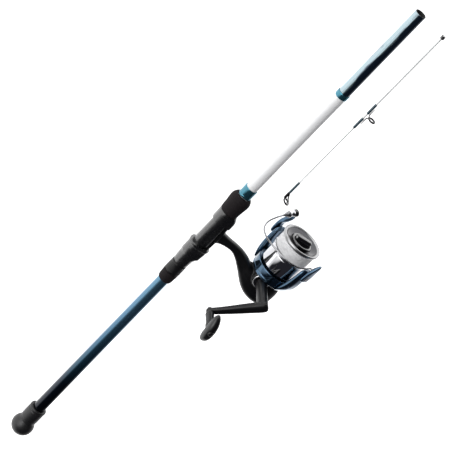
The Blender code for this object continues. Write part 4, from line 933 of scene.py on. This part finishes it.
def make_tip():
    end = TIP_LENGTH - 2
    put_on(lathe("tip_blank_slim", [(0, tip_radius(0)), (end, tip_radius(end))], TIP, sides=48),
           "tip_blank", "pale")
    inner = tip_radius(0) + 0.3
    put_on(lathe("tip_end_plug", [(0, 2.4), (0.5, 3.0), (1.9, 3.0), (2.2, 2.7), (2.8, 2.7),
                                  (3.1, 3.0), (4.5, 3.0), (5, 2.5), (5, inner), (0, inner)],
                 TIP, sides=64, hollow=True, soft=0.2), "tip_end_collar", "gloss")
    for node, start, stop in (("tip_wrap", TIP_LENGTH - 30, TIP_LENGTH - 9.4),
                              ("guide_wrap_rear", TIP_GUIDE_X - 20.5, TIP_GUIDE_X - 2.7),
                              ("guide_wrap_front", TIP_GUIDE_X + 5.5, TIP_GUIDE_X + 24.3)):
        inner = tip_radius(start) + 0.3
        outer = inner + 0.45
        wrap = lathe(node + "_thread", [(start, inner + 0.1), (start + 1.2, outer),
                                        (stop - 1.2, outer), (stop, inner + 0.1), (stop, inner),
                                        (start, inner)], TIP, sides=64, hollow=True, soft=0.3)
        put_on(wrap, node, "wrap")

    x, ring_z, ring_r = TIP_GUIDE_X, 9.9, 5.6
    guide = line_ring("guide_frame_wire", x, ring_z, ring_r, ring_r - 0.8, 0.9)
    foot_z = tip_radius(x) + 1.8
    legs = [leg([(x + d * 14, 0, foot_z), (x + d * 4, 0, foot_z), (x + d * 1.6, 0, foot_z + 1),
                 (x + d * 0.4, 0, ring_z - ring_r + 0.4)], (0.4, 0.75, 0.75, 0.75))
            for d in (-1, 1)]
    put_on(joined(guide, legs), "guide_frame", "black_steel")
    put_on(line_ring("guide_ring_insert", x, ring_z, ring_r - 1.1, ring_r - 2.0, 1.2),
           "guide_ring", "ceramic")

    end, ring_z = TIP_LENGTH, 5.9
    bore = tip_radius(end) + 0.3
    sleeve = lathe("tip_top_wire", [(end - 9, bore + 0.3), (end - 8.6, bore + 0.7),
                                    (end, bore + 0.7), (end + 1.2, 0.9)], TIP, sides=48, soft=0.2)
    pivot = Vector((end, 0, 0)) * MM
    lean = (Matrix.Translation(pivot) @ Matrix.Rotation(radians(20), 4, "Y")
            @ Matrix.Translation(-pivot))
    ring_x = end + 1.6
    ring = moved(line_ring("ring", ring_x, ring_z, 5.6, 4.8, 0.9), lean)
    wires = [leg([(end - 0.6, 0, 0.6), (end + 0.6, 0, 0.6), (end + 1.4, 0, 0.7)],
                 (0.6, 0.6, 0.6))]
    for side in (-1, 1):
        hold = lean @ (Vector((ring_x - 0.5, side * 4.9, ring_z + 2.6)) * MM) / MM
        wires.append(leg([(end - 7.4, side * 0.6, bore + 0.4), (end - 4, side * 1.4, bore + 1.8),
                          tuple(hold)], (0.6, 0.5, 0.5)))
    put_on(joined(sleeve, [ring, *wires]), "tip_top_frame", "black_steel")
    put_on(moved(line_ring("tip_top_insert", ring_x, ring_z, 4.5, 3.7, 1.0), lean),
           "tip_top_ring", "ceramic")


# ---------------------------------------------------------------- studio


def make_floor():
    """A bright pale floor that glows a little, so it shows no shadow line."""
    reach = 6000
    floor = build("floor", [(x * reach, y * reach, 0)
                            for x, y in ((-1, -1), (1, -1), (1, 1), (-1, 1))],
                  [(0, 1, 2, 3)], Matrix.Identity(4))
    material = bpy.data.materials.new("pale_floor")
    material.use_nodes = True
    shader = material.node_tree.nodes["Principled BSDF"]
    for key, value in (("Base Color", (0.9, 0.9, 0.9, 1)), ("Roughness", 0.9),
                       ("Specular IOR Level", 0.1), ("Emission Color", (1, 1, 1, 1)),
                       ("Emission Strength", 1.15)):
        shader.inputs[key].default_value = value
    floor.data.materials.append(material)


def make_world():
    """A dark sky that is bright on one side and pale near the horizon."""
    world = bpy.data.worlds.new("studio")
    bpy.context.scene.world = world
    world.use_nodes = True
    tree = world.node_tree
    direction = add_node(tree, "ShaderNodeTexCoord").outputs["Generated"]
    bright_side = Vector((0.25, 0.95, 0.1)).normalized()
    facing = add_node(tree, "ShaderNodeVectorMath", {0: direction, 1: bright_side},
                      operation="DOT_PRODUCT")
    share = add_node(tree, "ShaderNodeMath", {0: facing.outputs["Value"], 1: 0.5, 2: 0.5},
                     operation="MULTIPLY_ADD")
    sky = add_ramp(tree, share.outputs["Value"], [
        (0.0, (0.3, 0.3, 0.31)), (0.08, (0.2, 0.2, 0.21)), (0.14, (0.012, 0.012, 0.015)),
        (0.82, (0.012, 0.012, 0.015)), (0.91, (1, 1, 1)), (1.0, (1, 1, 1))])
    split = add_node(tree, "ShaderNodeSeparateXYZ", {"Vector": direction})
    horizon = add_node(tree, "ShaderNodeMix", {
        "Factor": add_range(tree, split.outputs["Z"], 0.07, 0.2),
        "A": (0.6, 0.6, 0.6, 1), "B": sky,
    }, data_type="RGBA")
    background = tree.nodes["Background"]
    background.inputs["Strength"].default_value = 1.9
    tree.links.new(horizon.outputs["Result"], background.inputs["Color"])


def lamp(name, at, size, power, glossy):
    """A round lamp that shines at the origin."""
    data = bpy.data.lights.new(name, "AREA")
    data.shape = "DISK"
    data.size = size
    data.energy = power
    obj = bpy.data.objects.new(name, data)
    bpy.context.scene.collection.objects.link(obj)
    obj.location = at
    obj.rotation_euler = (-Vector(at)).to_track_quat("-Z", "Y").to_euler()
    obj.visible_glossy = glossy
    obj.visible_camera = False


def make_camera():
    """The view from above the crank's side, with the rod rising to the right."""
    right = (0.61586505, -0.02345057, -0.78750258)
    up = (0.6328285, 0.61012531, 0.47673389)
    back = (0.46929557, -0.79195782, 0.39059504)
    turn = Matrix((right, up, back)).transposed().to_4x4()
    place = Matrix.Translation(Vector((1.92854716, -2.51747861, 1.23231165)))
    data = bpy.data.cameras.new("camera")
    data.sensor_width = 36.0
    data.lens = 196.92
    data.clip_end = 50.0
    camera = bpy.data.objects.new("camera", data)
    bpy.context.scene.collection.objects.link(camera)
    camera.matrix_world = BENCH @ place @ turn
    bpy.context.scene.camera = camera


def dress_hidden():
    """CAD nodes that keep their own shape get the finish of their slot."""
    for node, obj in frame["nodes"].items():
        if not obj.hide_render:
            obj.data.materials.clear()
            obj.data.materials.append(FINISHES[SLOT_FINISH[NODE_SLOT[node]]])


make_blank()
make_butt_cap()
make_grips()
make_seat()
make_body()
make_body_trim()
make_rotor()
make_bail()
make_wire()
make_spool()
make_drag_knob()
make_crank()
make_knob()
make_tip()
dress_hidden()
make_floor()
make_world()
lamp("overhead", (0, 0.3, 2.2), 2.6, 15, glossy=False)
lamp("low_side", (0.5, 1.9, 0.7), 1.6, 14, glossy=True)
make_camera()
bpy.context.scene.view_settings.view_transform = "Standard"
